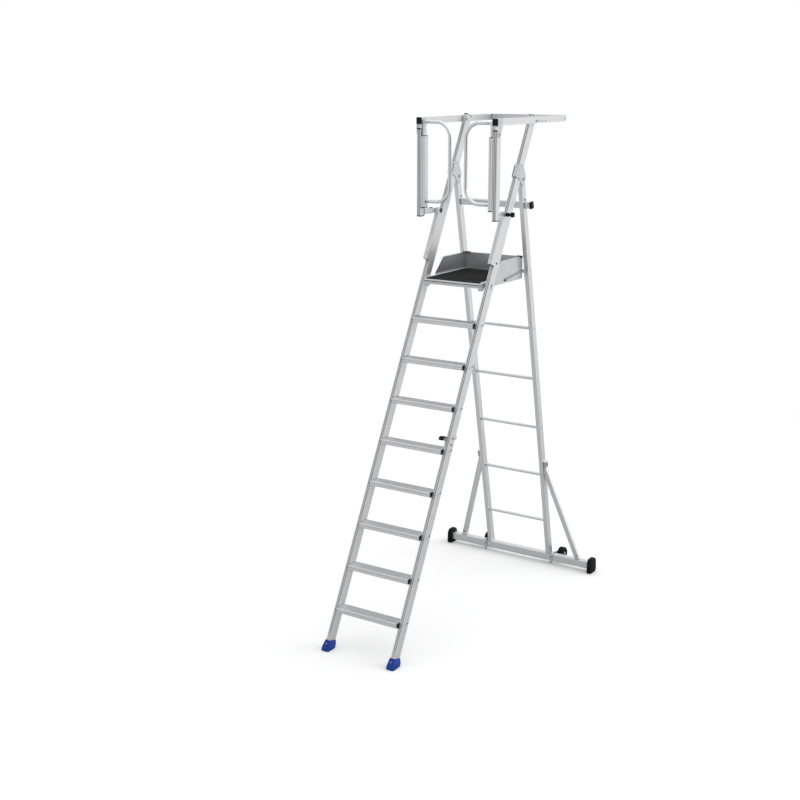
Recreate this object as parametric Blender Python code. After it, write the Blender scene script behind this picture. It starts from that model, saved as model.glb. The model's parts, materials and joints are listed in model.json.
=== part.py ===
"""Folding platform step ladder: eight treads up to a railed standing platform, propped by a rear frame
on a wide stabiliser bar. Metres, Z up, the front facing -Y, the middle plane at X = 0, the floor at Z = 0."""

import math

import bmesh
import bpy
from mathutils import Matrix, Vector
from mathutils.geometry import tessellate_polygon

# Front ladder. "up" runs along the stile and "back" square to it, both from the foot of the climbing line.
FRONT_TILT = math.radians(27.1)
STILE_IN = 0.2325
STILE_OUT = 0.2625
STILE_FRONT = 0.016
STILE_BACK = 0.076
STILE_START = 0.050
STILE_WALL = 0.0022
GROOVE_PLACES = (0.23, 0.60)
GROOVE_WIDTH = 0.0050
GROOVE_DEPTH = 0.0022
STILE_TOP_Z = 3.317
STILE_TOP_FALL = 0.45
TREAD_COUNT = 8
TREAD_PITCH = 0.250
TREAD_DEPTH = 0.085
TREAD_HEIGHT = 0.032
TREAD_LEAD = 0.008
GAP = 0.0003

# Rear frame, hung from the fold pivot. Heights are those of the standing ladder.
PIVOT_UP = 3.3145
PIVOT_BACK = 0.1047
REAR_TILT = math.radians(11.69)
LEG_DEPTH = 0.050
LEG_WALL = 0.0022
LEG_FOOT_Z = 0.0806
RUNG_COUNT = 5
RUNG_FIRST_Z = 0.353
RUNG_PITCH = 0.3766
RUNG_RADIUS = 0.011
KNEE_RAIL_Z = 2.730
STRUT_HALF = 0.018

# Stabiliser bar and wheels.
BAR_HALF = 0.5825
BAR_END = 0.615
BAR_BACK_Y = 2.185
BAR_SIDE = 0.050
BAR_LOW_Z = 0.030
WHEEL_RADIUS = 0.050
WHEEL_X = 0.315
WHEEL_Y = 2.275
WHEEL_Z = 0.060
WHEEL_WIDTH = 0.042

# Standing platform.
DECK_TOP_Z = 2.260
DECK_LOW_Z = 2.225
DECK_HALF = 0.2225
DECK_FRONT_Y = 1.144
DECK_BACK_Y = 1.690
MAT_TOP_Z = 2.266
MAT_HALF = 0.207
BOARD_TOP_Z = 2.378
BOARD_LOW_Z = 2.230
DECK_PIVOT_BACK = 0.046
DECK_PIVOT_Z = 2.243
LATCH_Y = 1.444
LATCH_Z = 2.248

# Guard: side rails hinged on the stile tops, gate posts hung from the rails' front ends.
RAIL_IN = 0.2655
RAIL_OUT = 0.3005
RAIL_LOW_Z = 3.264
RAIL_TOP_Z = 3.306
RAIL_FRONT_Y = 1.172
RAIL_BACK_Y = 2.145
RAIL_PIVOT = (1.702, 3.279)
HEAD_PIVOT = (1.195, 3.210)
SLIDE_PIVOT = (1.372, 2.690)
POST_IN = 0.270
POST_OUT = 0.300
POST_FRONT_Y = 1.175
POST_BACK_Y = 1.220
POST_LOW_Z = 2.668
POST_TOP_Z = 3.229
GATE_AXIS = (0.2675, 1.2155)
GATE_TUBE_RADIUS = 0.0125
GATE_TUBE_Y = 1.195
GATE_TUBE_X = 0.060
GATE_TOP_Z = 3.278
GATE_LOW_Z = 2.765
GATE_BEND = 0.100

# Catch that holds the closed rear frame by its middle rung.
CATCH_UP = 1.510
CATCH_BACK = 0.046
CATCH_RAISED = math.radians(30.0)

FOOT_TOE_Y = 0.012
MIDDLE_Y = (FOOT_TOE_Y + WHEEL_Y + WHEEL_RADIUS) / 2


def front_point(up, back):
    """(y, z) of a point given along and square to the stile."""
    y = up * math.sin(FRONT_TILT) + back * math.cos(FRONT_TILT)
    z = up * math.cos(FRONT_TILT) - back * math.sin(FRONT_TILT)
    return y, z


def up_at(z, back):
    """How far up the stile height z lies, on the line `back` behind the climbing line."""
    return (z + back * math.sin(FRONT_TILT)) / math.cos(FRONT_TILT)


PIVOT_Y, PIVOT_Z = front_point(PIVOT_UP, PIVOT_BACK)
DECK_PIVOT_UP = up_at(DECK_PIVOT_Z, DECK_PIVOT_BACK)
DECK_PIVOT_Y = front_point(DECK_PIVOT_UP, DECK_PIVOT_BACK)[0]


def down_leg(z, back=0.0):
    """Height z as a place along the rear leg, measured from the fold pivot and negative below it."""
    return (z - PIVOT_Z - back * math.sin(REAR_TILT)) / math.cos(REAR_TILT)


# ---------------------------------------------------------------- materials


def material(name, colour, metallic, roughness):
    made = bpy.data.materials.new(name)
    made.use_nodes = True
    shader = made.node_tree.nodes["Principled BSDF"]
    shader.inputs["Base Color"].default_value = (*colour, 1.0)
    shader.inputs["Metallic"].default_value = metallic
    shader.inputs["Roughness"].default_value = roughness
    return made


# ---------------------------------------------------------------- shape helpers


def new_object(name, points, faces):
    mesh = bpy.data.meshes.new(name)
    mesh.from_pydata([tuple(p) for p in points], [], faces)
    shape = bmesh.new()
    shape.from_mesh(mesh)
    bmesh.ops.recalc_face_normals(shape, faces=shape.faces)
    if shape.calc_volume(signed=True) < 0.0:
        bmesh.ops.reverse_faces(shape, faces=shape.faces)
    shape.to_mesh(mesh)
    shape.free()
    made = bpy.data.objects.new(name, mesh)
    bpy.context.scene.collection.objects.link(made)
    return made


def placed(axis, a, b, along):
    """The point whose section coordinates are (a, b) at `along` on the axis, in right-handed order."""
    if axis == "X":
        return (along, a, b)
    if axis == "Y":
        return (b, along, a)
    return (a, b, along)


def extrusion(name, axis, outline, low, high, holes=()):
    """A straight bar of the given section. low and high are places on the axis, or functions of (a, b)."""
    loops = [list(outline)] + [list(hole) for hole in holes]
    flat = [point for loop in loops for point in loop]
    count = len(flat)
    low_at = low if callable(low) else lambda a, b: low
    high_at = high if callable(high) else lambda a, b: high
    points = [placed(axis, a, b, low_at(a, b)) for a, b in flat]
    points += [placed(axis, a, b, high_at(a, b)) for a, b in flat]
    caps = tessellate_polygon([[Vector((a, b, 0.0)) for a, b in loop] for loop in loops])
    faces = [tuple(face) for face in caps]
    faces += [tuple(index + count for index in reversed(face)) for face in caps]
    start = 0
    for loop in loops:
        size = len(loop)
        for i in range(size):
            j = (i + 1) % size
            faces.append((start + i, start + j, start + j + count, start + i + count))
        start += size
    return new_object(name, points, faces)


def rectangle(a0, a1, b0, b1):
    return [(a0, b0), (a1, b0), (a1, b1), (a0, b1)]


def box(name, x0, x1, y0, y1, z0, z1):
    return extrusion(name, "Z", rectangle(x0, x1, y0, y1), z0, z1)


def circle(a, b, radius, sides):
    turns = [2 * math.pi * i / sides for i in range(sides)]
    return [(a + radius * math.cos(t), b + radius * math.sin(t)) for t in turns]


def arc(a, b, radius, start, end, steps):
    """Points on part of a circle, with the angles in degrees."""
    turns = [math.radians(start + (end - start) * i / steps) for i in range(steps + 1)]
    return [(a + radius * math.cos(t), b + radius * math.sin(t)) for t in turns]


def rounded(a0, a1, b0, b1, radius):
    """A rectangle with rounded corners."""
    corners = ((a1, b0, -90.0), (a1, b1, 0.0), (a0, b1, 90.0), (a0, b0, 180.0))
    outline = []
    for a, b, start in corners:
        centre_a = a - math.copysign(radius, a - (a0 + a1) / 2)
        centre_b = b - math.copysign(radius, b - (b0 + b1) / 2)
        outline += arc(centre_a, centre_b, radius, start, start + 90.0, 3)
    return outline


def lofted(name, rings):
    """A closed skin over rings of equal point counts, with a flat cap at each end."""
    size = len(rings[0])
    points = [point for ring in rings for point in ring]
    faces = [tuple(range(size)), tuple(range(len(points) - size, len(points)))]
    for i in range(len(rings) - 1):
        for k in range(size):
            m = (k + 1) % size
            faces.append((i * size + k, i * size + m, (i + 1) * size + m, (i + 1) * size + k))
    return new_object(name, points, faces)


def grooved(a0, a1, b0, b1, grooves, depth):
    """A rectangle with grooves, given as (from, to) along a, cut into its b0 side."""
    outline = [(a0, b0)]
    for start, end in grooves:
        outline += [(start, b0), (start, b0 + depth), (end, b0 + depth), (end, b0)]
    return outline + [(a1, b0), (a1, b1), (a0, b1)]


def lathe(name, profile, sides):
    """A solid of revolution about X. The profile is a closed loop of (x, radius)."""
    size = len(profile)
    points = []
    for i in range(sides):
        turn = 2 * math.pi * i / sides
        points += [(x, r * math.cos(turn), r * math.sin(turn)) for x, r in profile]
    faces = []
    for i in range(sides):
        k = (i + 1) % sides
        for j in range(size):
            m = (j + 1) % size
            faces.append((i * size + j, i * size + m, k * size + m, k * size + j))
    return new_object(name, points, faces)


def spindle(name, profile, sides):
    """A closed solid of revolution about X whose profile starts and ends on the axis."""
    inner = profile[1:-1]
    size = len(inner)
    points = [(profile[0][0], 0.0, 0.0), (profile[-1][0], 0.0, 0.0)]
    for i in range(sides):
        turn = 2 * math.pi * i / sides
        points += [(x, r * math.cos(turn), r * math.sin(turn)) for x, r in inner]
    faces = []
    for i in range(sides):
        here = 2 + i * size
        there = 2 + ((i + 1) % sides) * size
        faces.append((0, here, there))
        faces.append((1, there + size - 1, here + size - 1))
        for j in range(size - 1):
            faces.append((here + j, here + j + 1, there + j + 1, there + j))
    return new_object(name, points, faces)


def bent_tube(name, path, y, outer, inner, sides):
    """An open-ended round tube that follows a path of (x, z) points in the plane at y."""
    points = []
    for i, (x, z) in enumerate(path):
        before = Vector(path[max(i - 1, 0)])
        after = Vector(path[min(i + 1, len(path) - 1)])
        along = (after - before).normalized()
        for radius in (outer, inner):
            for k in range(sides):
                turn = 2 * math.pi * k / sides
                side = radius * math.cos(turn)
                points.append((x - along.y * side, y + radius * math.sin(turn), z + along.x * side))
    ring = 2 * sides
    faces = []
    for i in range(len(path) - 1):
        for part in (0, sides):
            for k in range(sides):
                m = (k + 1) % sides
                here = i * ring + part
                there = here + ring
                faces.append((here + k, here + m, there + m, there + k))
    for i in (0, len(path) - 1):
        for k in range(sides):
            m = (k + 1) % sides
            faces.append((i * ring + k, i * ring + m, i * ring + sides + m, i * ring + sides + k))
    return new_object(name, points, faces)


def boolean(target, tool, operation):
    """Joins the tool to the target or cuts it away, and keeps only the result."""
    modifier = target.modifiers.new("boolean", "BOOLEAN")
    modifier.operation = operation
    modifier.solver = "EXACT"
    modifier.object = tool
    bpy.context.view_layer.update()
    graph = bpy.context.evaluated_depsgraph_get()
    result = bpy.data.meshes.new_from_object(target.evaluated_get(graph))
    target.modifiers.clear()
    target.data = result
    result.name = target.name
    bpy.data.objects.remove(tool)
    return target


def joined(target, *tools):
    for tool in tools:
        boolean(target, tool, "UNION")
    return target


def cut(target, *tools):
    for tool in tools:
        boolean(target, tool, "DIFFERENCE")
    return target


def softened(target, width, segments=2, angle=40.0):
    """Rounds the sharp edges."""
    bevel = target.modifiers.new("rounding", "BEVEL")
    bevel.width = width
    bevel.segments = segments
    bevel.limit_method = "ANGLE"
    bevel.angle_limit = math.radians(angle)
    bpy.context.view_layer.update()
    graph = bpy.context.evaluated_depsgraph_get()
    result = bpy.data.meshes.new_from_object(target.evaluated_get(graph))
    target.modifiers.clear()
    target.data = result
    result.name = target.name
    return target


def smooth(target):
    for polygon in target.data.polygons:
        polygon.use_smooth = True
    target.data.set_sharp_from_angle(angle=math.radians(35.0))
    return target


def finish(target, surface, parent):
    target.data.materials.clear()
    target.data.materials.append(surface)
    target.parent = parent
    return target


def empty(name, parent, x=0.0, y=0.0, z=0.0, tilt=0.0):
    made = bpy.data.objects.new(name, None)
    made.empty_display_size = 0.05
    made.location = (x, y, z)
    made.rotation_euler = (tilt, 0.0, 0.0)
    made.parent = parent
    bpy.context.scene.collection.objects.link(made)
    return made


def shifted(target, x=0.0, y=0.0, z=0.0):
    target.data.transform(Matrix.Translation((x, y, z)))
    return target


def mirrored(side, x0, x1):
    """The span of x on the given side (-1 left, 1 right), low end first."""
    return (x0, x1) if side > 0 else (-x1, -x0)


# ---------------------------------------------------------------- front ladder

SIDES = (("left", -1), ("right", 1))


def front_stile(name, side):
    x0, x1 = mirrored(side, STILE_IN, STILE_OUT)
    width = x1 - x0
    grooves = [(x0 + width * f, x0 + width * f + GROOVE_WIDTH) for f in GROOVE_PLACES]
    outline = grooved(x0, x1, STILE_FRONT, STILE_BACK, grooves, GROOVE_DEPTH)
    hollow = rectangle(x0 + STILE_WALL, x1 - STILE_WALL, STILE_FRONT + 0.0034, STILE_BACK - STILE_WALL)

    def top(x, back):
        return up_at(STILE_TOP_Z - STILE_TOP_FALL * (back - STILE_FRONT), back)

    stile = extrusion(name, "Z", outline, STILE_START, top, [hollow])
    hole = extrusion("hole", "X", circle(DECK_PIVOT_BACK, DECK_PIVOT_UP, 0.0053, 16), x0 - 0.01, x1 + 0.01)
    return cut(stile, hole)


def tread(name, z):
    """A hollow step with a nosing groove and a ribbed top."""
    y0 = z * math.tan(FRONT_TILT) - TREAD_LEAD
    y1 = y0 + TREAD_DEPTH
    top = z + 0.015
    low = top - TREAD_HEIGHT
    outline = [(y0 + 0.004, low), (y1 - 0.002, low), (y1, low + 0.002), (y1, top)]
    ribs = 6
    pitch = (TREAD_DEPTH - 0.014) / ribs
    for i in range(ribs):
        start = y1 - 0.006 - i * pitch
        end = start - 0.0035
        outline += [(start, top), (start, top - 0.0014), (end, top - 0.0014), (end, top)]
    outline += [(y0 + 0.003, top), (y0, top - 0.003)]
    outline += [(y0, z + 0.004), (y0 + 0.002, z + 0.002), (y0 + 0.002, z - 0.004), (y0, z - 0.006)]
    outline += [(y0, low + 0.004)]
    hollow = rectangle(y0 + 0.006, y1 - 0.003, low + 0.003, top - 0.004)
    return extrusion(name, "X", outline, GAP - STILE_IN, STILE_IN - GAP, [hollow])


def front_foot(name, side):
    """A thick shoe round the stile's lower end, wider at its flat sole than at its mouth."""
    rings = []
    for x_in, x_out, y0, y1, z, fall in (
        (0.2240, 0.2745, 0.0150, 0.0905, 0.000, 0.0),
        (0.2205, 0.2775, FOOT_TOE_Y, 0.0955, 0.008, 0.0),
        (0.2215, 0.2765, 0.0190, 0.1045, 0.026, 0.05),
        (0.2275, 0.2675, 0.0440, 0.1140, 0.067, 0.30),
    ):
        x0, x1 = mirrored(side, x_in, x_out)
        ring = rounded(x0, x1, y0, y1, 0.008)
        rings.append([(x, y, z - fall * (y - y0)) for x, y in ring])
    foot = lofted(name, rings)
    low, high = mirrored(side, STILE_IN - 0.0004, STILE_OUT + 0.0004)
    pocket = box("pocket", low, high, STILE_FRONT - 0.0004, STILE_BACK + 0.0004, STILE_START - 0.0004, 0.3)
    pocket.data.transform(Matrix.Rotation(-FRONT_TILT, 4, "X"))
    return cut(foot, pocket)


def apex_bracket(name, side):
    """A channel round the front of the stile whose cheeks carry the fold pivot."""
    cheek = [(0.005, 3.289), (0.064, 3.289), (0.112, 3.268), (0.130, 3.272), (0.1355, 3.290)]
    cheek += [(0.1335, 3.3415), (0.058, 3.398), (0.005, 3.3805)]
    inner = mirrored(side, 0.2298, STILE_IN - GAP)
    outer = mirrored(side, STILE_OUT + GAP, 0.2652)
    web = mirrored(side, 0.2298, 0.2652)
    bracket = extrusion(name, "X", cheek, *inner)
    joined(bracket, extrusion("cheek", "X", cheek, *outer))
    joined(bracket, box("web", *web, 0.0050, STILE_FRONT - GAP, 3.2905, 3.3800))
    low, high = mirrored(side, 0.220, 0.280)
    hole = extrusion("hole", "X", circle(PIVOT_BACK, PIVOT_UP, 0.0063, 20), low, high)
    return cut(bracket, hole)


def slide_profile(name, side):
    """The short track on the front of the stile that the gate post's foot runs down."""
    x0, x1 = mirrored(side, STILE_IN, STILE_OUT)
    width = x1 - x0
    grooves = [(x0 + width * 0.45, x0 + width * 0.45 + 0.003)]
    outline = grooved(x0, x1, -0.0235, STILE_FRONT - GAP, grooves, 0.0015)
    hollow = rectangle(x0 + 0.0022, x1 - 0.0022, -0.0235 + 0.004, STILE_FRONT - GAP - 0.0022)
    return extrusion(name, "Z", outline, 2.670, 3.030, [hollow])


def deck_pin(name, side):
    """The platform's pivot pin, through both walls of the stile."""
    profile = [(0.2165, 0.0), (0.2165, 0.0045), (0.2170, 0.0050), (0.2628, 0.0050), (0.2628, 0.0100)]
    profile += [(0.2645, 0.0100), (0.2655, 0.0085), (0.2655, 0.0)]
    pin = spindle(name, [(side * x, r) for x, r in profile], 16)
    return smooth(shifted(pin, 0.0, DECK_PIVOT_BACK, DECK_PIVOT_UP))


def transport_catch(name):
    """A lever with a hooked end, drawn here in its raised place about its pivot."""
    outline = [(-0.055, -0.004), (0.000, -0.012), (0.040, -0.016), (0.0805, -0.016)]
    outline += [(0.0825, -0.036), (0.090, -0.040), (0.097, -0.030), (0.096, -0.008)]
    outline += [(0.068, 0.008), (0.000, 0.014)]
    outline += [(-0.055, 0.012), (-0.062, 0.004)]
    catch = extrusion(name, "X", outline, 0.2272, STILE_IN - 0.0006)
    catch.data.transform(Matrix.Rotation(CATCH_RAISED, 4, "X"))
    return catch


# ---------------------------------------------------------------- rear frame


def knee_rail_section(slack):
    centre = down_leg(KNEE_RAIL_Z)
    return rectangle(-0.012 - slack, 0.016 + slack, centre - 0.020 - slack, centre + 0.020 + slack)


def rear_leg(name, side):
    """A box-section leg with a rounded head round the pivot, open at its foot."""
    x0, x1 = mirrored(side, STILE_IN, STILE_OUT)
    half = LEG_DEPTH / 2
    outline = [(-half, down_leg(LEG_FOOT_Z, -half)), (half, down_leg(LEG_FOOT_Z, half))]
    outline += arc(0.0, 0.0, half, 0.0, 180.0, 10)
    leg = extrusion(name, "X", outline, x0, x1)
    inside = half - LEG_WALL
    cut(leg, box("hollow", x0 + LEG_WALL, x1 - LEG_WALL, -inside, inside, -3.2, -0.030))
    cut(leg, extrusion("window", "X", knee_rail_section(0.0004), x0 - 0.01, x1 + 0.01))
    return cut(leg, extrusion("hole", "X", circle(0.0, 0.0, 0.0063, 20), x0 - 0.01, x1 + 0.01))


def rear_rung(name, z):
    place = down_leg(z)
    outline = circle(0.0, place, RUNG_RADIUS, 20)
    hollow = circle(0.0, place, RUNG_RADIUS - 0.002, 20)
    return smooth(extrusion(name, "X", outline, GAP - STILE_IN, STILE_IN - GAP, [hollow]))


def knee_rail(name):
    """A tube through both legs that stands out beyond the right one only."""
    outline = knee_rail_section(0.0)
    hollow = knee_rail_section(-0.002)
    return extrusion(name, "X", outline, -0.264, 0.305, [hollow])


def apex_bolt(name, side):
    profile = [(0.2260, 0.0), (0.2260, 0.0085), (0.2270, 0.0100), (0.2295, 0.0100), (0.2295, 0.0060)]
    profile += [(0.2655, 0.0060), (0.2655, 0.0100), (0.2680, 0.0100), (0.2690, 0.0085), (0.2690, 0.0)]
    return smooth(spindle(name, [(side * x, r) for x, r in profile], 18))


def latch_plate(name, side):
    """The plate on the leg's inner face that the platform's latch drops over."""
    low, high = mirrored(side, 0.2290, STILE_IN - GAP)
    outline = [(-0.0235, down_leg(2.214)), (0.0235, down_leg(2.214)), (0.0235, down_leg(2.276))]
    outline += [(0.0155, down_leg(2.284)), (-0.0155, down_leg(2.284)), (-0.0235, down_leg(2.276))]
    return extrusion(name, "X", outline, low, high)


def strut(name, side):
    """The brace from the leg's outer face down to the stabiliser bar, in the plane of the rear frame."""
    top_x = STILE_OUT + 0.0005
    top = down_leg(0.790)
    foot_x = 0.485
    foot = down_leg(LEG_FOOT_Z, -0.0125) + 0.0006
    run = foot_x - top_x
    drop = top - foot
    length = math.hypot(run, drop)
    across = STRUT_HALF * length / drop
    along = STRUT_HALF * length / run
    outline = [(top_x, top + along), (top_x, top - along), (foot_x - across, foot), (foot_x + across, foot)]
    outline = [(place, side * x) for x, place in outline]
    return extrusion(name, "Y", outline, -0.0125, 0.0125)


def stabiliser_bar(name):
    half = BAR_SIDE / 2
    low = BAR_LOW_Z
    high = BAR_LOW_Z + BAR_SIDE
    outline = rectangle(BAR_BACK_Y - half, BAR_BACK_Y + half, low, high)
    hollow = rectangle(BAR_BACK_Y - half + 0.0025, BAR_BACK_Y + half - 0.0025, low + 0.0025, high - 0.0025)
    return extrusion(name, "X", outline, -BAR_HALF, BAR_HALF, [hollow])


def bar_end_foot(name, side):
    low, high = mirrored(side, BAR_HALF + GAP, BAR_END)
    outline = [(2.142, 0.0), (2.226, 0.0), (2.236, 0.014), (2.232, 0.088), (2.214, 0.108)]
    outline += [(2.156, 0.108), (2.138, 0.088), (2.134, 0.014)]
    foot = softened(extrusion(name, "X", outline, low, high), 0.003, angle=30.0)
    for vertex in foot.data.vertices:
        vertex.co.z = max(vertex.co.z, 0.0)
    return foot


def bar_saddle(name, side):
    """A strap over the bar with the wheel's axle behind it."""
    low, high = mirrored(side, 0.270, 0.290)
    front = BAR_BACK_Y - BAR_SIDE / 2
    back = BAR_BACK_Y + BAR_SIDE / 2
    top = BAR_LOW_Z + BAR_SIDE
    outline = [(front - 0.005, 0.012), (front - GAP, 0.012)]
    outline += [(front - GAP, top + GAP), (back + GAP, top + GAP)]
    outline += [(back + GAP, 0.032), (back + 0.005, 0.032), (back + 0.005, top + 0.005)]
    outline += [(front - 0.005, top + 0.017)]
    saddle = extrusion(name, "X", outline, low, high)
    arm_low, arm_high = mirrored(side, 0.272, 0.278)
    arm = [(back + 0.002, 0.036), (WHEEL_Y, WHEEL_Z - 0.013), (WHEEL_Y + 0.013, WHEEL_Z)]
    arm += [(WHEEL_Y, WHEEL_Z + 0.013), (back + 0.002, 0.078)]
    joined(saddle, extrusion("arm", "X", arm, arm_low, arm_high))
    axle_low, axle_high = mirrored(side, 0.274, WHEEL_X + WHEEL_WIDTH / 2 + 0.003)
    return joined(saddle, extrusion("axle", "X", circle(WHEEL_Y, WHEEL_Z, 0.006, 16), axle_low, axle_high))


def wheel(name):
    """Tyre, web and bored hub in one, about its own axis."""
    half = WHEEL_WIDTH / 2
    profile = [(-half, 0.0064), (-half, 0.0150), (-half + 0.006, 0.0170), (-half + 0.006, 0.0340)]
    profile += [(-half + 0.001, 0.0360), (-half, 0.0450)]
    profile += [(-half + 0.004, 0.0490), (-half + 0.009, WHEEL_RADIUS)]
    profile += [(half - 0.009, WHEEL_RADIUS), (half - 0.004, 0.0490), (half, 0.0450), (half - 0.001, 0.0360)]
    profile += [(half - 0.006, 0.0340), (half - 0.006, 0.0170), (half, 0.0150), (half, 0.0064)]
    return smooth(lathe(name, profile, 32))


# ---------------------------------------------------------------- platform


def platform_frame(name):
    """A deck with turned-down edges, stiffened by two ribs below, and with grooves along its front edge."""
    frame = box(name, -DECK_HALF, DECK_HALF, DECK_FRONT_Y, DECK_BACK_Y, DECK_LOW_Z, DECK_TOP_Z)
    inner = DECK_HALF - 0.0030
    thirds = [-inner, -inner / 3 - 0.002, -inner / 3 + 0.002, inner / 3 - 0.002, inner / 3 + 0.002, inner]
    for i in range(3):
        x0, x1 = thirds[2 * i], thirds[2 * i + 1]
        cut(frame, box("pocket", x0, x1, DECK_FRONT_Y + 0.007, DECK_BACK_Y - 0.004, 2.20, DECK_TOP_Z - 0.004))
    for z in (2.2345, 2.2455):
        cut(frame, box("groove", -0.3, 0.3, 1.10, DECK_FRONT_Y + 0.002, z, z + 0.0035))
    hole = extrusion("hole", "X", circle(DECK_PIVOT_Y, DECK_PIVOT_Z, 0.0053, 16), -0.3, 0.3)
    return cut(frame, hole)


def side_board(name, side):
    low, high = mirrored(side, DECK_HALF + 0.0003, 0.2250)
    outline = [(1.292, BOARD_LOW_Z), (1.694, BOARD_LOW_Z), (1.694, BOARD_TOP_Z)]
    outline += [(1.394, BOARD_TOP_Z), (1.292, 2.280)]
    board = extrusion(name, "X", outline, low, high)
    lip_low, lip_high = mirrored(side, 0.2130, 0.2240)
    low, high = BOARD_TOP_Z - 0.0035, BOARD_TOP_Z - 0.0010
    return joined(board, box("lip", lip_low, lip_high, 1.396, 1.680, low, high))


def rear_board(name):
    front, back = DECK_BACK_Y + GAP, DECK_BACK_Y + 0.0028
    board = box(name, -DECK_HALF, DECK_HALF, front, back, BOARD_LOW_Z, BOARD_TOP_Z)
    low, high = BOARD_TOP_Z - 0.0035, BOARD_TOP_Z - 0.0010
    lip = box("lip", -0.2120, 0.2120, 1.6810, DECK_BACK_Y + 0.0015, low, high)
    return joined(board, lip)


def platform_latch(name, side):
    """A flat lever beside the platform, about its own pivot, reaching back to the rear leg."""
    low, high = mirrored(side, 0.2255, 0.2283)
    outline = [(0.000, -0.007), (0.200, 0.019), (0.252, 0.026)]
    outline += [(0.254, 0.014), (0.264, 0.014), (0.266, 0.040)]
    outline += [(0.200, 0.032), (0.000, 0.007), (-0.007, 0.000)]
    return extrusion(name, "X", outline, low, high)


# ---------------------------------------------------------------- guard


def side_rail(name, side):
    x0, x1 = mirrored(side, RAIL_IN, RAIL_OUT)
    outline = rectangle(RAIL_LOW_Z, RAIL_TOP_Z, x0, x1)
    hollow = rectangle(RAIL_LOW_Z + 0.0022, RAIL_TOP_Z - 0.0022, x0 + 0.0022, x1 - 0.0022)
    return extrusion(name, "Y", outline, RAIL_FRONT_Y, RAIL_BACK_Y, [hollow])


def rear_cross_rail(name):
    back = RAIL_BACK_Y - 0.002
    outline = rectangle(back - 0.038, back, RAIL_LOW_Z, RAIL_TOP_Z)
    hollow = rectangle(back - 0.0358, back - 0.0022, RAIL_LOW_Z + 0.0022, RAIL_TOP_Z - 0.0022)
    return extrusion(name, "X", outline, GAP - RAIL_IN, RAIL_IN - GAP, [hollow])


def rail_head_bracket(name, side):
    """Two cheeks hugging the rail's front end, rounded below round the gate post's pivot."""
    y, z = HEAD_PIVOT
    cheek = arc(y, z, 0.020, 180.0, 360.0, 10)
    cheek += [(1.236, 3.250), (1.236, 3.300), (1.178, 3.300), (1.175, 3.297)]
    inner = mirrored(side, 0.2620, RAIL_IN - GAP)
    outer = mirrored(side, RAIL_OUT + GAP, 0.3040)
    web = mirrored(side, 0.2630, 0.3030)
    bracket = extrusion(name, "X", cheek, *inner)
    joined(bracket, extrusion("cheek", "X", cheek, *outer))
    return joined(bracket, box("web", *web, 1.1765, 1.2345, RAIL_LOW_Z - 0.0045, RAIL_LOW_Z - GAP))


def gate_post(name, side):
    """The outer post, with a foot bracket whose arm lies along the slide profile's outer side."""
    x0, x1 = mirrored(side, POST_IN, POST_OUT)
    width = x1 - x0
    grooves = [(x0 + width * f, x0 + width * f + GROOVE_WIDTH) for f in GROOVE_PLACES]
    outline = grooved(x0, x1, POST_FRONT_Y, POST_BACK_Y, grooves, GROOVE_DEPTH)
    hollow = rectangle(x0 + 0.0022, x1 - 0.0022, POST_FRONT_Y + 0.0034, POST_BACK_Y - 0.0022)
    post = extrusion(name, "Z", outline, POST_LOW_Z, POST_TOP_Z, [hollow])
    web = mirrored(side, 0.2655, 0.2975)
    joined(post, box("web", *web, POST_BACK_Y - 0.0012, POST_BACK_Y + 0.0036, 2.6720, 2.7150))
    y, z = SLIDE_PIVOT
    arm = [(POST_BACK_Y + 0.0010, 2.6740)] + arc(y, z, 0.0160, -90.0, 90.0, 8)
    arm += [(POST_BACK_Y + 0.0010, 2.7130)]
    joined(post, extrusion("arm", "X", arm, *mirrored(side, 0.2655, 0.2690)))
    hole = extrusion("hole", "X", circle(y, z, 0.0055, 16), *mirrored(side, 0.2640, 0.2700))
    return cut(post, hole)


def gate_tube(name, side):
    """The bent tube of one gate leaf, about the leaf's hinge axis."""
    axis_x, axis_y = GATE_AXIS
    middle = GATE_TUBE_X + GATE_BEND
    path = [(0.2445, GATE_TOP_Z)]
    path += arc(middle, GATE_TOP_Z - GATE_BEND, GATE_BEND, 90.0, 180.0, 7)
    path += arc(middle, GATE_LOW_Z + GATE_BEND, GATE_BEND, 180.0, 270.0, 7)
    path += [(0.2380, GATE_LOW_Z)]
    path = [(side * (x - axis_x), z) for x, z in path]
    radius = GATE_TUBE_RADIUS
    return smooth(bent_tube(name, path, GATE_TUBE_Y - axis_y, radius, radius - 0.002, 14))


def gate_stile(name, side):
    """The leaf's hinge stile with the fitting that holds the tube's upper end."""
    axis_x, axis_y = GATE_AXIS
    x0, x1 = mirrored(side, 0.2385, GATE_AXIS[0])
    y0, y1 = 1.175, GATE_AXIS[1]
    outline = grooved(x0, x1, y0, y1, [(x0 + 0.012, x0 + 0.015)], 0.0012)
    hollow = rectangle(x0 + 0.0022, x1 - 0.0022, y0 + 0.0034, y1 - 0.0022)
    stile = extrusion(name, "Z", outline, 2.727, 3.187, [hollow])
    joined(stile, box("top", x0 + 0.0010, x1 - 0.0010, y0 + 0.0020, y1 - 0.0010, 3.1800, 3.1860))
    fitting = mirrored(side, 0.2450, 0.2615)
    joined(stile, box("fitting", *fitting, 1.1815, 1.2085, 3.1830, GATE_TOP_Z + 0.0130))
    return shifted(stile, -side * axis_x, -axis_y)


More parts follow.
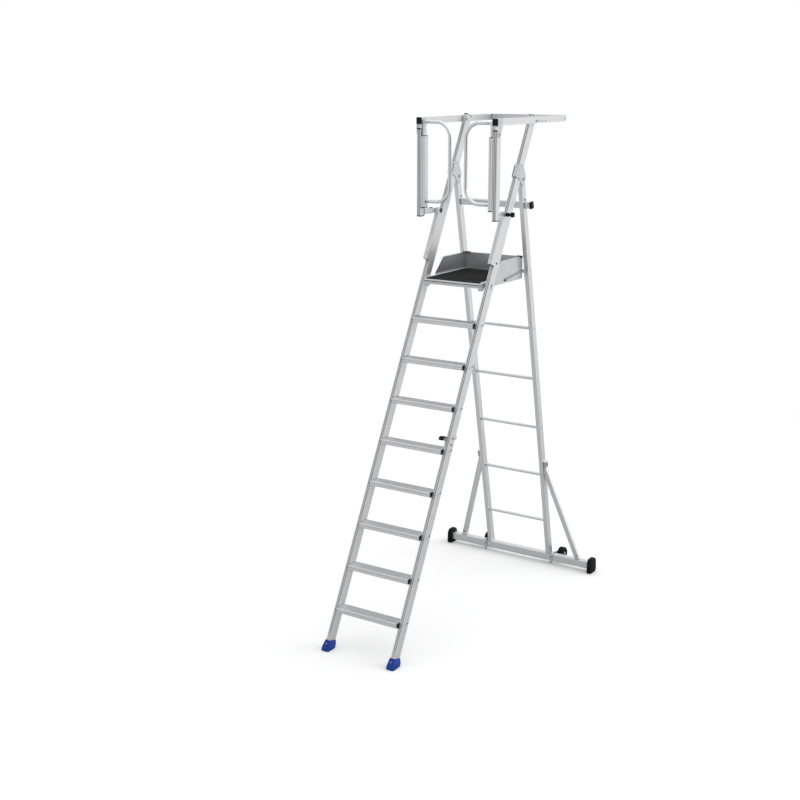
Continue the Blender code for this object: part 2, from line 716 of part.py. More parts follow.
def lock_knob(name, side):
    """A pull knob: pin, collar, neck and lobed grip along X from the slide profile outwards."""
    profile = [(0.2630, 0.0), (0.2630, 0.0040), (0.2640, 0.0050), (0.2696, 0.0050), (0.2696, 0.0115)]
    profile += [(0.2720, 0.0130), (0.2880, 0.0130), (0.2900, 0.0115), (0.2920, 0.0080)]
    profile += [(0.3060, 0.0080), (0.3060, 0.0)]
    stem = spindle(name, [(side * x, r) for x, r in profile], 16)
    lobes = []
    for i in range(30):
        turn = 2 * math.pi * i / 30
        radius = 0.0165 + 0.0020 * math.cos(6 * turn)
        lobes.append((radius * math.cos(turn), radius * math.sin(turn)))
    rings = []
    for x, scale in ((0.3020, 0.75), (0.3055, 1.0), (0.3190, 1.0), (0.3240, 0.80), (0.3260, 0.45)):
        rings.append([(side * x, a * scale, b * scale) for a, b in lobes])
    return smooth(joined(stem, lofted("grip", rings)))


# ---------------------------------------------------------------- assembly


def clear_scene():
    for item in list(bpy.data.objects):
        bpy.data.objects.remove(item)


def main():
    clear_scene()
    aluminium = material("anodised_aluminium", (0.80, 0.81, 0.82), 1.0, 0.38)
    sheet = material("aluminium_sheet", (0.62, 0.63, 0.64), 1.0, 0.45)
    steel = material("zinc_plated_steel", (0.60, 0.60, 0.58), 1.0, 0.35)
    black = material("black_plastic", (0.015, 0.015, 0.016), 0.0, 0.50)
    rubber = material("black_rubber", (0.020, 0.020, 0.020), 0.0, 0.80)
    mat_rubber = material("ribbed_mat", (0.030, 0.030, 0.032), 0.0, 0.85)
    blue = material("blue_plastic", (0.010, 0.035, 0.380), 0.0, 0.45)

    ladder = empty("ladder", None, y=-MIDDLE_Y)
    front = empty("front_ladder", ladder, tilt=-FRONT_TILT)
    rear = empty("rear_frame", ladder, y=PIVOT_Y, z=PIVOT_Z, tilt=REAR_TILT)
    base = empty("stabiliser_base", rear)
    base.rotation_euler = (-REAR_TILT, 0.0, 0.0)
    base_middle = empty("stabiliser_middle", base, y=-PIVOT_Y, z=-PIVOT_Z)
    deck = empty("platform", ladder, y=DECK_PIVOT_Y, z=DECK_PIVOT_Z)
    deck_middle = empty("platform_middle", deck, y=-DECK_PIVOT_Y, z=-DECK_PIVOT_Z)
    rail_pivot = empty("guard_rail", ladder, y=RAIL_PIVOT[0], z=RAIL_PIVOT[1])
    rail_middle = empty("guard_rail_middle", rail_pivot, y=-RAIL_PIVOT[0], z=-RAIL_PIVOT[1])
    head_y = HEAD_PIVOT[0]
    head_z = HEAD_PIVOT[1]
    posts = empty("gate_posts", rail_middle, y=head_y, z=head_z)
    posts_middle = empty("gate_posts_middle", posts, y=-head_y, z=-head_z)

    for side_name, side in SIDES:
        finish(front_stile("front_stile_" + side_name, side), aluminium, front)
        finish(apex_bracket("apex_bracket_" + side_name, side), sheet, front)
        finish(slide_profile("slide_profile_" + side_name, side), aluminium, front)
        finish(deck_pin("platform_pivot_" + side_name, side), steel, front)
        finish(front_foot("front_foot_" + side_name, side), blue, ladder)
    for number in range(1, TREAD_COUNT + 1):
        finish(tread("tread_" + str(number), number * TREAD_PITCH), aluminium, ladder)
    catch_pivot = empty("catch", front, y=CATCH_BACK, z=CATCH_UP)
    finish(transport_catch("transport_catch"), black, catch_pivot)

    for side_name, side in SIDES:
        finish(rear_leg("rear_leg_" + side_name, side), aluminium, rear)
        finish(apex_bolt("apex_pivot_bolt_" + side_name, side), steel, rear)
        finish(latch_plate("latch_plate_" + side_name, side), sheet, rear)
        finish(strut("strut_" + side_name, side), aluminium, rear)
        finish(bar_end_foot("bar_end_foot_" + side_name, side), rubber, base_middle)
        finish(bar_saddle("bar_saddle_" + side_name, side), sheet, base_middle)
        hub = empty("wheel_axis_" + side_name, base_middle, x=side * WHEEL_X, y=WHEEL_Y, z=WHEEL_Z)
        finish(wheel("wheel_" + side_name), rubber, hub)
    for number in range(1, RUNG_COUNT + 1):
        rung_z = RUNG_FIRST_Z + (number - 1) * RUNG_PITCH
        finish(rear_rung("rear_rung_" + str(number), rung_z), aluminium, rear)
    finish(knee_rail("knee_rail"), aluminium, rear)
    finish(stabiliser_bar("stabiliser_bar"), aluminium, base_middle)

    finish(platform_frame("platform_frame"), aluminium, deck_middle)
    mat = box("platform_mat", -MAT_HALF, MAT_HALF, 1.148, 1.660, DECK_TOP_Z + GAP, MAT_TOP_Z)
    finish(mat, mat_rubber, deck_middle)
    finish(rear_board("kickboard_rear"), sheet, deck_middle)
    for side_name, side in SIDES:
        finish(side_board("kickboard_" + side_name, side), sheet, deck_middle)
        latch_pivot = empty("latch_axis_" + side_name, deck_middle, y=LATCH_Y, z=LATCH_Z)
        finish(platform_latch("platform_latch_" + side_name, side), steel, latch_pivot)

    finish(rear_cross_rail("rear_cross_rail"), aluminium, rail_middle)
    for side_name, side in SIDES:
        finish(side_rail("side_rail_" + side_name, side), aluminium, rail_middle)
        finish(rail_head_bracket("rail_head_bracket_" + side_name, side), sheet, rail_middle)
        finish(gate_post("gate_post_" + side_name, side), aluminium, posts_middle)
        hinge = empty("gate_axis_" + side_name, posts_middle, x=side * GATE_AXIS[0], y=GATE_AXIS[1])
        finish(gate_tube("gate_" + side_name, side), aluminium, hinge)
        finish(gate_stile("gate_stile_" + side_name, side), aluminium, hinge)
        knob = empty("knob_axis_" + side_name, posts_middle, y=SLIDE_PIVOT[0], z=SLIDE_PIVOT[1])
        finish(lock_knob("lock_knob_" + side_name, side), black, knob)


main()
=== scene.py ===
"""Finished looks for a folding platform step ladder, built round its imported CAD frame."""

import json
import math

import bmesh
import bpy
from mathutils import Matrix, Vector


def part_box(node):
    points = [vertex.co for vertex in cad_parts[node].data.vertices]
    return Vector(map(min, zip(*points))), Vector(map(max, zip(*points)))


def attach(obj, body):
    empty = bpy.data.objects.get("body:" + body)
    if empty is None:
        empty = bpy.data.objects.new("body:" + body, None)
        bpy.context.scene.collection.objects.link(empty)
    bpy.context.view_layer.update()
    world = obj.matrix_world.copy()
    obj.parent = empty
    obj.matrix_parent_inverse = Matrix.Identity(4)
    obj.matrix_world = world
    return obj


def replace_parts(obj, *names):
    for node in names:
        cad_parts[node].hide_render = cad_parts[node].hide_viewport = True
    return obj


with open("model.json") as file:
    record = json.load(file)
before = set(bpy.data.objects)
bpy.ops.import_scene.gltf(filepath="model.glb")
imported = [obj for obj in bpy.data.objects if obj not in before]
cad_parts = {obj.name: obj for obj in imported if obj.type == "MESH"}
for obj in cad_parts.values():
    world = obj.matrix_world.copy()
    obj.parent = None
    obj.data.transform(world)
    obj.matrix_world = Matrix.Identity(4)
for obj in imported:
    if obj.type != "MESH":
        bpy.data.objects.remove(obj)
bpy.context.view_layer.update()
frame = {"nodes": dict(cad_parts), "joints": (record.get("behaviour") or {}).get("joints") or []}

# Lengths are in metres and angles in degrees. BRIGHT_TURN and FLAG_TURN are pairs of cosines.

SIDES = (("left", -1), ("right", 1))
JOINTS = {joint["name"]: joint for joint in frame["joints"]}
EMBED = 0.0006
CAP_LIP = 0.0008
SHEET_THICKNESS = 0.0025
CAP_THICKNESS = 0.0032
UPRIGHT_CAP = 0.0055
STILE_CAP = 0.0025
STILE_DROP = 0.0785
# How far the painted crease shade looks for nearby surfaces.
PAINTED_SHADE_REACH = 0.0045
GROOVE_PLACES = (0.23, 0.60)
GROOVE_WIDTH = 0.0050
GROOVE_DEPTH = 0.0022
GROOVE_LIP = 0.0009
GROOVE_END = 0.030
POST_INSET = 0.0045
POST_DEPTH = 0.045
GATE_BEND = 0.100
FLOOR_RADIUS = 6.0
FLOOR_TONE = 0.50
FLOOR_SEEN_TONE = 0.80
FLOOR_GLOW = 0.13
BRIGHT_SIDE = (0.6, 0.75, 0.3)
BRIGHT_TURN = (-0.70, 0.50)
DIM_SKY = 0.74
BRIGHT_SKY = 0.80
FLAG_SIDE = (0.75, -0.65, -0.10)
FLAG_TURN = (0.80, 0.93)
FLAG_TONE = 0.25
VIEWPOINT = (4.3067, -7.2360, 3.5797)
VIEW_TURN = (75.782, 0.0, 33.201)
VIEW_LENS = 57.92
WELD_REACH = 0.00002
SMOOTH_TO = 34
EDGE_FROM = 38
EDGE_WIDTH = 0.0005
X, Y, Z = Vector((1, 0, 0)), Vector((0, 1, 0)), Vector((0, 0, 1))


# ---------------------------------------------------------------- places, taken from the frame


def pivot(joint):
    return Vector(JOINTS[joint]["pos_m"])


def slope(low_node, high_node):
    """The turn about X whose local Z runs up from one node to a like node above it."""
    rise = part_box(high_node)[0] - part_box(low_node)[0]
    return Matrix.Rotation(-math.atan2(rise.y, rise.z), 4, "X")


def box_in(node, turn):
    """A node's lowest and highest corners along the axes of a turned frame."""
    back = turn.inverted()
    corners = [back @ vertex.co for vertex in frame["nodes"][node].data.vertices]
    low = Vector([min(corner[i] for corner in corners) for i in range(3)])
    high = Vector([max(corner[i] for corner in corners) for i in range(3)])
    return low, high


def at_height(turn, back, z, x=0.0):
    """The point at height z on the sloping line that lies `back` along the slope's local Y."""
    up = (z - turn[2][1] * back) / turn[2][2]
    return turn @ Vector((x, back, up))


def centre_of(node):
    low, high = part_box(node)
    return (low + high) / 2


def span(side, x0, x1):
    """A span of x on the left (-1) or right (1), low end first."""
    return (x0, x1) if side > 0 else (-x1, -x0)


FRONT = slope("tread_1", "tread_8")
REAR = slope("rear_rung_1", "rear_rung_5")
LEVEL = Matrix.Identity(4)
ALONG_X = Matrix.Rotation(math.radians(90), 4, "Y")
ALONG_Y = Matrix.Rotation(math.radians(-90), 4, "X")
STILE_LOW, STILE_HIGH = box_in("front_stile_right", FRONT)
LEG_LOW, LEG_HIGH = box_in("rear_leg_right", REAR)
STILE_IN, STILE_OUT = STILE_LOW.x, STILE_HIGH.x
TREAD_COUNT = sum(name.startswith("tread_") for name in frame["nodes"])
RUNG_COUNT = sum(name.startswith("rear_rung_") for name in frame["nodes"])


# ---------------------------------------------------------------- materials


ANODISED = (0.74, 0.755, 0.765)
MILL_FINISH = (0.66, 0.675, 0.69)


class Surface:
    """A node material in the making."""

    def __init__(self, name, metallic=0.0):
        self.material = bpy.data.materials.new(name)
        self.material.use_nodes = True
        self.tree = self.material.node_tree
        self.shader = self.tree.nodes["Principled BSDF"]
        self.put(self.shader, {"Metallic": metallic})

    def put(self, node, inputs):
        for key, value in inputs.items():
            if isinstance(value, bpy.types.NodeSocket):
                self.tree.links.new(value, node.inputs[key])
            else:
                node.inputs[key].default_value = value

    def node(self, kind, inputs, output, **settings):
        made = self.tree.nodes.new("ShaderNode" + kind)
        for key, value in settings.items():
            setattr(made, key, value)
        self.put(made, inputs)
        return made.outputs[output]

    def place(self, turn, grain):
        """Object coordinates along the turned axes, measured in grains."""
        where = self.node("TexCoord", {}, "Object")
        inputs = {"Vector": where, "Rotation": turn.to_euler(), "Scale": grain}
        return self.node("Mapping", inputs, "Vector", vector_type="TEXTURE")

    def noise(self, turn, grain, detail=2.0):
        where = self.place(turn, grain)
        inputs = {"Vector": where, "Scale": 1.0, "Detail": detail, "Roughness": 0.55}
        return self.node("TexNoise", inputs, "Fac")

    def ranged(self, value, low, high, start=0.3, end=0.7):
        inputs = {"Value": value, "From Min": start, "From Max": end, "To Min": low, "To Max": high}
        return self.node("MapRange", inputs, "Result")

    def mixed(self, share, first, second):
        first = (*first, 1.0) if isinstance(first, tuple) else first
        second = (*second, 1.0) if isinstance(second, tuple) else second
        return self.node("MixRGB", {"Fac": share, "Color1": first, "Color2": second}, "Color")

    def summed(self, first, second):
        return self.node("Math", {0: first, 1: second}, "Value", operation="ADD")

    def creased(self, body, tone):
        """Painted shade: darkens a colour in narrow grooves and where pieces meet, wherever ambient
        occlusion finds them.
        """
        open_share = self.node("AmbientOcclusion", {"Distance": PAINTED_SHADE_REACH}, "AO", samples=8)
        return self.mixed(self.ranged(open_share, 0.0, 1.0, 0.45, 0.92), tone, body)

    def bumped(self, height, strength, depth):
        inputs = {"Height": height, "Strength": strength, "Distance": depth}
        return self.node("Bump", inputs, "Normal")

    def done(self, colour, roughness, normal):
        self.put(self.shader, {"Base Color": colour, "Roughness": roughness, "Normal": normal})
        return self.material


def shade(colour, factor):
    return tuple(channel * factor for channel in colour)


def drawn_aluminium(name, turn, colour=ANODISED, roughness=0.38, metallic=0.88, painted_top_shade=1.0):
    """Satin anodised extrusion: fine die lines along the turned Z, broad bands and faint handling marks,
    with painted shade in creases.
    Faces that look up are darkened by painted_top_shade, painted shade standing in for the shading of
    fine ribs."""
    made = Surface(name, metallic)
    lines = made.noise(turn, (0.0009, 0.0009, 0.70), 4.0)
    bands = made.noise(turn, (0.0100, 0.0100, 3.0), 2.0)
    marks = made.noise(turn, (0.055, 0.055, 0.16), 5.0)
    body = made.mixed(made.ranged(bands, 0.0, 1.0), shade(colour, 0.95), shade(colour, 1.03))
    body = made.mixed(made.ranged(marks, 0.0, 0.55, 0.55, 0.80), body, shade(colour, 0.86))
    # Painted shade: faces that look up are darkened, standing in for the shading of fine ribs.
    if painted_top_shade != 1.0:
        normal = made.node("NewGeometry", {}, "Normal")
        rise = made.node("SeparateXYZ", {"Vector": normal}, "Z")
        body = made.mixed(made.ranged(rise, 0.0, 1.0, 0.75, 0.95), body, shade(colour, painted_top_shade))
    # Painted shade in narrow creases and where pieces meet, at 0.30 of the colour.
    body = made.creased(body, shade(colour, 0.30))
    fine = made.ranged(lines, roughness - 0.05, roughness + 0.05)
    rough = made.summed(fine, made.ranged(marks, -0.02, 0.05))
    return made.done(body, rough, made.bumped(lines, 0.12, 0.00010))


def rolled_sheet(name, turn, colour=MILL_FINISH, roughness=0.33):
    """Mill-finish sheet: short brushed scratches along the turned Z over cloudy oxide."""
    made = Surface(name, metallic=0.93)
    scratches = made.noise(turn, (0.0007, 0.0007, 0.055), 5.0)
    clouds = made.noise(turn, (0.045, 0.045, 0.070), 4.0)
    body = made.mixed(made.ranged(clouds, 0.0, 1.0), shade(colour, 0.96), shade(colour, 1.02))
    body = made.mixed(made.ranged(scratches, 0.0, 0.25, 0.5, 0.75), body, shade(colour, 0.75))
    # Painted shade in narrow creases and where pieces meet, at 0.35 of the colour.
    body = made.creased(body, shade(colour, 0.35))
    fine = made.ranged(scratches, roughness - 0.07, roughness + 0.07)
    rough = made.summed(fine, made.ranged(clouds, -0.02, 0.02))
    return made.done(body, rough, made.bumped(scratches, 0.18, 0.00010))


def zinc_steel(name, colour=(0.40, 0.41, 0.41), roughness=0.36):
    """Zinc-plated steel: small mottled crystals and a few dull specks."""
    made = Surface(name, metallic=0.90)
    where = made.place(LEVEL, (0.0030, 0.0030, 0.0030))
    crystals = made.node("TexVoronoi", {"Vector": where, "Scale": 1.0}, "Color")
    tone = made.node("RGBToBW", {"Color": crystals}, "Val")
    specks = made.noise(LEVEL, (0.0012, 0.0012, 0.0012), 3.0)
    body = made.mixed(made.ranged(tone, 0.0, 1.0, 0.1, 0.9), shade(colour, 0.80), shade(colour, 1.10))
    body = made.mixed(made.ranged(specks, 0.0, 0.6, 0.60, 0.75), body, shade(colour, 0.45))
    rough = made.ranged(tone, roughness - 0.06, roughness + 0.10, 0.1, 0.9)
    return made.done(body, rough, made.bumped(specks, 0.12, 0.00008))


def moulded(name, colour, roughness, grain, mottle, gloss=0.16, dust_tone=0.010):
    """Moulded plastic or rubber: a fine eroded skin, cloudy colour and dustier, rougher patches."""
    made = Surface(name)
    made.put(made.shader, {"Specular IOR Level": gloss})
    skin = made.noise(LEVEL, (grain, grain, grain), 3.0)
    clouds = made.noise(LEVEL, (0.014, 0.014, 0.014), 3.0)
    dust = made.noise(LEVEL, (0.040, 0.040, 0.040), 6.0)
    dark, light = shade(colour, 1.0 - mottle), shade(colour, 1.0 + mottle)
    body = made.mixed(made.ranged(clouds, 0.0, 1.0), dark, light)
    dusty = tuple(channel * 0.9 + dust_tone for channel in colour)
    body = made.mixed(made.ranged(dust, 0.0, 0.5, 0.55, 0.80), body, dusty)
    fine = made.ranged(skin, roughness - 0.06, roughness + 0.06)
    rough = made.summed(fine, made.ranged(dust, 0.0, 0.10))
    return made.done(body, rough, made.bumped(skin, 0.35, 0.00025))


STRUT_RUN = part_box("strut_right")[1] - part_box("strut_right")[0]
STRUT_LEAN = math.atan2(STRUT_RUN.x, STRUT_RUN.z)


def strut_turn(side):
    return REAR @ Matrix.Rotation(-side * STRUT_LEAN, 4, "Y")


SURFACES = {
    "front": drawn_aluminium("anodised_front_profile", FRONT),
    "rear": drawn_aluminium("anodised_rear_profile", REAR),
    "cross": drawn_aluminium("anodised_cross_profile", ALONG_X),
    "rail": drawn_aluminium("anodised_rail_profile", ALONG_Y),
    "upright": drawn_aluminium("anodised_upright_profile", LEVEL),
    "strut_left": drawn_aluminium("anodised_strut_left", strut_turn(-1)),
    "strut_right": drawn_aluminium("anodised_strut_right", strut_turn(1)),
    "sheet": rolled_sheet("brushed_sheet", ALONG_Y),
    "cross_sheet": rolled_sheet("brushed_cross_sheet", ALONG_X),
    "steel": zinc_steel("zinc_plated_steel"),
    "dark_steel": zinc_steel("blackened_steel", (0.10, 0.10, 0.105), 0.42),
    # The treads' last figure, 0.80, is painted shade on their upward faces.
    "tread": drawn_aluminium("anodised_tread_profile", ALONG_X, (0.72, 0.735, 0.745), 0.42, 0.86, 0.80),
    "gate_tube": drawn_aluminium("polished_gate_tube", LEVEL, (0.78, 0.79, 0.80), 0.24, 1.0),
    # The slot finish is painted shade: a dark finish for strips in the profile grooves, standing in for
    # their shadow.
    "slot": drawn_aluminium("shaded_groove", FRONT, (0.34, 0.345, 0.35), 0.55, 0.60),
    "trim": drawn_aluminium("satin_trim", ALONG_Y, (0.80, 0.81, 0.82), 0.50, 0.35),
    "blue": moulded("blue_plastic", (0.006, 0.042, 0.28), 0.42, 0.0007, 0.40, 0.26, 0.020),
    "black": moulded("black_plastic", (0.0045, 0.0045, 0.005), 0.40, 0.0006, 0.25, 0.18, 0.004),
    "rubber": moulded("black_rubber", (0.0050, 0.0050, 0.0052), 0.62, 0.0009, 0.30, 0.14, 0.006),
    "mat": moulded("mat_rubber", (0.016, 0.016, 0.017), 0.72, 0.0011, 0.20, 0.16, 0.006),
}
NODE_SURFACES = (
    ("front_stile", "front"),
    ("slide_profile", "front"),
    ("rear_leg", "rear"),
    ("tread", "tread"),
    ("rear_rung", "cross"),
    ("knee_rail", "cross"),
    ("stabiliser_bar", "cross"),
    ("rear_cross_rail", "cross"),
    ("side_rail", "rail"),
    ("gate_post", "upright"),
    ("gate_stile", "upright"),
    ("gate", "gate_tube"),
    ("strut_left", "strut_left"),
    ("strut_right", "strut_right"),
    ("platform_frame", "cross_sheet"),
    ("kickboard_rear", "cross_sheet"),
    ("kickboard", "sheet"),
    ("apex_bracket", "sheet"),
    ("rail_head_bracket", "sheet"),
    ("bar_saddle", "sheet"),
    ("latch_plate", "sheet"),
    ("platform_pivot", "steel"),
    ("apex_pivot_bolt", "steel"),
    ("platform_latch", "steel"),
    ("front_foot", "blue"),
    ("bar_end_foot", "rubber"),
    ("wheel", "rubber"),
    ("lock_knob", "black"),
    ("transport_catch", "sheet"),
    ("platform_mat", "mat"),
)


# ---------------------------------------------------------------- shapes


def block(low, high, radius=0.0008, segments=3):
    """A box with rounded edges."""
    shape = bmesh.new()
    bmesh.ops.create_cube(shape, size=1.0)
    low, high = Vector(low), Vector(high)
    size = high - low
    bmesh.ops.scale(shape, vec=size, verts=shape.verts)
    bmesh.ops.translate(shape, vec=(low + high) / 2, verts=shape.verts)
    width = min(radius, min(size) * 0.45)
    edges = list(shape.edges)
    bmesh.ops.bevel(shape, geom=edges, offset=width, segments=segments, profile=0.5, affect="EDGES")
    return shape


def slab(outline, x0, x1, radius=0.0006, segments=2):
    """A plate across X with the given (y, z) outline and rounded edges."""
    shape = bmesh.new()
    face = shape.faces.new([shape.verts.new((x0, y, z)) for y, z in outline])
    moved = bmesh.ops.extrude_face_region(shape, geom=[face])["geom"]
    corners = [item for item in moved if isinstance(item, bmesh.types.BMVert)]
    bmesh.ops.translate(shape, vec=(x1 - x0, 0, 0), verts=corners)
    bmesh.ops.recalc_face_normals(shape, faces=shape.faces)
    if radius:
        edges = list(shape.edges)
        bmesh.ops.bevel(shape, geom=edges, offset=radius, segments=segments, profile=0.5, affect="EDGES")
    return shape


def turned(profile, sides=24):
    """A solid of revolution about Z whose (radius, z) profile starts and ends on the axis."""
    shape = bmesh.new()
    foot = shape.verts.new((0, 0, profile[0][1]))
    crown = shape.verts.new((0, 0, profile[-1][1]))
    rings = []
    for radius, z in profile[1:-1]:
        turns = [2 * math.pi * k / sides for k in range(sides)]
        rings.append([shape.verts.new((radius * math.cos(t), radius * math.sin(t), z)) for t in turns])
    for k in range(sides):
        m = (k + 1) % sides
        shape.faces.new((foot, rings[0][m], rings[0][k]))
        shape.faces.new((crown, rings[-1][k], rings[-1][m]))
        for lower, upper in zip(rings, rings[1:]):
            shape.faces.new((lower[k], lower[m], upper[m], upper[k]))
    return shape


def tube(path, radius, sides=28):
    """A closed round bar that follows a path of points lying in one plane square to Y."""
    shape = bmesh.new()
    rings = []
    for i, point in enumerate(path):
        along = (path[min(i + 1, len(path) - 1)] - path[max(i - 1, 0)]).normalized()
        across = along.cross(Y)
        turns = [2 * math.pi * k / sides for k in range(sides)]
        ring = [point + radius * (math.cos(t) * across + math.sin(t) * Y) for t in turns]
        rings.append([shape.verts.new(corner) for corner in ring])
    for lower, upper in zip(rings, rings[1:]):
        for k in range(sides):
            m = (k + 1) % sides
            shape.faces.new((lower[k], lower[m], upper[m], upper[k]))
    shape.faces.new(rings[0])
    shape.faces.new(list(reversed(rings[-1])))
    return shape


def rivet(radius=0.0046, height=0.0020):
    """A domed head on a thin flange."""
    rim = height * 0.25
    profile = [(0, -EMBED), (radius, -EMBED), (radius, rim)]
    for i in range(1, 6):
        turn = math.radians(90 * i / 6)
        profile.append((radius * 0.96 * math.cos(turn), rim + (height - rim) * math.sin(turn)))
    return turned(profile + [(0, height)])


def socket_screw(radius=0.0055, height=0.0036):
    """A button head with a round recess."""
    well = radius * 0.42
    profile = [(0, -EMBED), (radius, -EMBED), (radius, height * 0.35), (radius * 0.86, height * 0.80)]
    profile += [(radius * 0.60, height), (well, height), (well * 0.9, height * 0.45), (0, height * 0.45)]
    return turned(profile)


def hex_bolt(radius=0.0075, height=0.0050):
    """A hexagon head on a washer."""
    rim = [(radius * 1.30, -EMBED), (radius * 1.30, 0.0011), (radius * 1.22, 0.0015)]
    washer = turned([(0, -EMBED)] + rim + [(0, 0.0015)])
    flats = [(radius, 0.0012), (radius, height * 0.82), (radius * 0.86, height)]
    head = turned([(0, 0.0012)] + flats + [(0, height)], 6)
    return merged((washer, LEVEL), (head, LEVEL))


def merged(*parts):
    """One shape from several, each with the matrix that puts it in place."""
    whole = bmesh.new()
    for part, matrix in parts:
        held = bpy.data.meshes.new("held")
        part.to_mesh(held)
        part.free()
        held.transform(matrix)
        whole.from_mesh(held)
        bpy.data.meshes.remove(held)
    return whole


def facing(point, direction):
    """The matrix that stands a Z-up shape on a point, looking along a direction."""
    return Matrix.Translation(point) @ Vector(direction).to_track_quat("Z", "Y").to_matrix().to_4x4()


def piece(name, shape, surface, body, smooth_to=EDGE_FROM):
    """Makes a shape an object with a finish, riding on a CAD body."""
    bmesh.ops.recalc_face_normals(shape, faces=shape.faces)
    mesh = bpy.data.meshes.new(name)
    shape.to_mesh(mesh)
    shape.free()
    for polygon in mesh.polygons:
        polygon.use_smooth = True
    mesh.set_sharp_from_angle(angle=math.radians(smooth_to))
    mesh.materials.append(SURFACES[surface])
    made = bpy.data.objects.new(name, mesh)
    bpy.context.scene.collection.objects.link(made)
    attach(made, body)
    return made


def fasteners(name, kind, places, surface, body, **size):
    """A group of like fasteners at (point, direction) places."""
    shapes = ((kind(**size), facing(point, way)) for point, way in places)
    return piece(name, merged(*shapes), surface, body)


# ---------------------------------------------------------------- CAD nodes that stay


def rounding_nodes():
    """Node group that welds a faceted mesh and shades it smooth up to an angle."""
    tree = bpy.data.node_groups.new("weld_and_smooth", "GeometryNodeTree")
    tree.interface.new_socket("Geometry", in_out="INPUT", socket_type="NodeSocketGeometry")
    tree.interface.new_socket("Geometry", in_out="OUTPUT", socket_type="NodeSocketGeometry")
    source = tree.nodes.new("NodeGroupInput")
    target = tree.nodes.new("NodeGroupOutput")
    weld = tree.nodes.new("GeometryNodeMergeByDistance")
    weld.inputs["Distance"].default_value = WELD_REACH
    forget = tree.nodes.new("GeometryNodeRemoveAttribute")
    forget.inputs["Name"].default_value = "custom_normal"
    faces = tree.nodes.new("GeometryNodeSetShadeSmooth")
    faces.inputs["Shade Smooth"].default_value = True
    edges = tree.nodes.new("GeometryNodeSetShadeSmooth")
    edges.domain = "EDGE"
    edges.inputs["Shade Smooth"].default_value = False
    angle = tree.nodes.new("GeometryNodeInputMeshEdgeAngle")
    sharp = tree.nodes.new("FunctionNodeCompare")
    sharp.data_type = "FLOAT"
    sharp.operation = "GREATER_THAN"
    sharp.inputs["B"].default_value = math.radians(SMOOTH_TO)
    link = tree.links.new
    link(source.outputs[0], forget.inputs["Geometry"])
    link(forget.outputs["Geometry"], weld.inputs["Geometry"])
    link(weld.outputs["Geometry"], faces.inputs["Geometry"])
    link(faces.outputs["Geometry"], edges.inputs["Geometry"])
    link(angle.outputs["Unsigned Angle"], sharp.inputs["A"])
    link(sharp.outputs["Result"], edges.inputs["Selection"])
    link(edges.outputs["Geometry"], target.inputs[0])
    return tree


ROUNDED = {"front_foot": 0.0022, "bar_end_foot": 0.0012, "lock_knob": 0.0008}


def dress_frame():
    """Gives every CAD node its finish, smooth shading and softened edges."""
    smoothing = rounding_nodes()
    for name, node in frame["nodes"].items():
        surface = next(finish for start, finish in NODE_SURFACES if name.startswith(start))
        for slot in node.material_slots:
            slot.link = "OBJECT"
            slot.material = SURFACES[surface]
        node.modifiers.new("weld_and_smooth", "NODES").node_group = smoothing
        if name.startswith(("rear_rung", "wheel", "gate_left", "gate_right")):
            continue
        bevel = node.modifiers.new("edges", "BEVEL")
        widths = (width for start, width in ROUNDED.items() if name.startswith(start))
        bevel.width = next(widths, EDGE_WIDTH)
        bevel.segments = 2
        bevel.limit_method = "ANGLE"
        bevel.angle_limit = math.radians(EDGE_FROM)
        bevel.harden_normals = True


# ---------------------------------------------------------------- front ladder


def stile_cap(side_name):
    """A black cap of even thickness over the stile's sloping top."""
    low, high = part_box("front_stile_" + side_name)
    back = FRONT.inverted()
    rear_edge = STILE_HIGH.y - 0.0001
    corners = [vertex.co for vertex in frame["nodes"]["front_stile_" + side_name].data.vertices]
    fall = high.z - max(corner.z for corner in corners if (back @ corner).y > rear_edge)
    front = at_height(FRONT, STILE_LOW.y - CAP_LIP, high.z)
    rear = at_height(FRONT, STILE_HIGH.y + CAP_LIP, high.z - fall)
    outline = [(front.y, front.z - CAP_LIP), (rear.y, rear.z - CAP_LIP)]
    outline += [(rear.y, rear.z + CAP_THICKNESS), (front.y, front.z + CAP_THICKNESS)]
    return slab(outline, low.x - CAP_LIP, high.x + CAP_LIP, 0.0008)


def tread_cap(number, side):
    """The black plug that closes the end of a tread's nose in front of the stile."""
    low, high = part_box("tread_" + str(number))
    stile = [at_height(FRONT, STILE_LOW.y, z).y - 0.0008 for z in (low.z, high.z)]
    lead = low.y - 0.0006
    foot, head = low.z - 0.0003, high.z + 0.0003
    outline = [(lead, foot), (stile[0], foot), (stile[1], head), (lead, head)]
    return slab(outline, *span(side, high.x - 0.0004, high.x + 0.0014), 0.0006)


def tread_rivet_places(side, backs, rise=0.0):
    for number in range(1, TREAD_COUNT + 1):
        z = centre_of("tread_" + str(number)).z + rise
        for back in backs:
            yield at_height(FRONT, STILE_LOW.y + back, z, side * STILE_OUT), side * X


def groove_bases(low, high, turn):
    """Dark strips in the inner slots of a grooved profile whose grooved face looks along the turned -Y:
    painted shadow for the deep grooves.
    """
    slots = []
    for share in GROOVE_PLACES:
        x0 = low.x + (high.x - low.x) * share + GROOVE_LIP
        start = (x0, low.y + GROOVE_DEPTH - 0.0007, low.z)
        end = (x0 + GROOVE_WIDTH - 2 * GROOVE_LIP, low.y + GROOVE_DEPTH + 0.0004, high.z)
        slots.append((block(start, end, 0.0002, 1), turn))
    return merged(*slots)


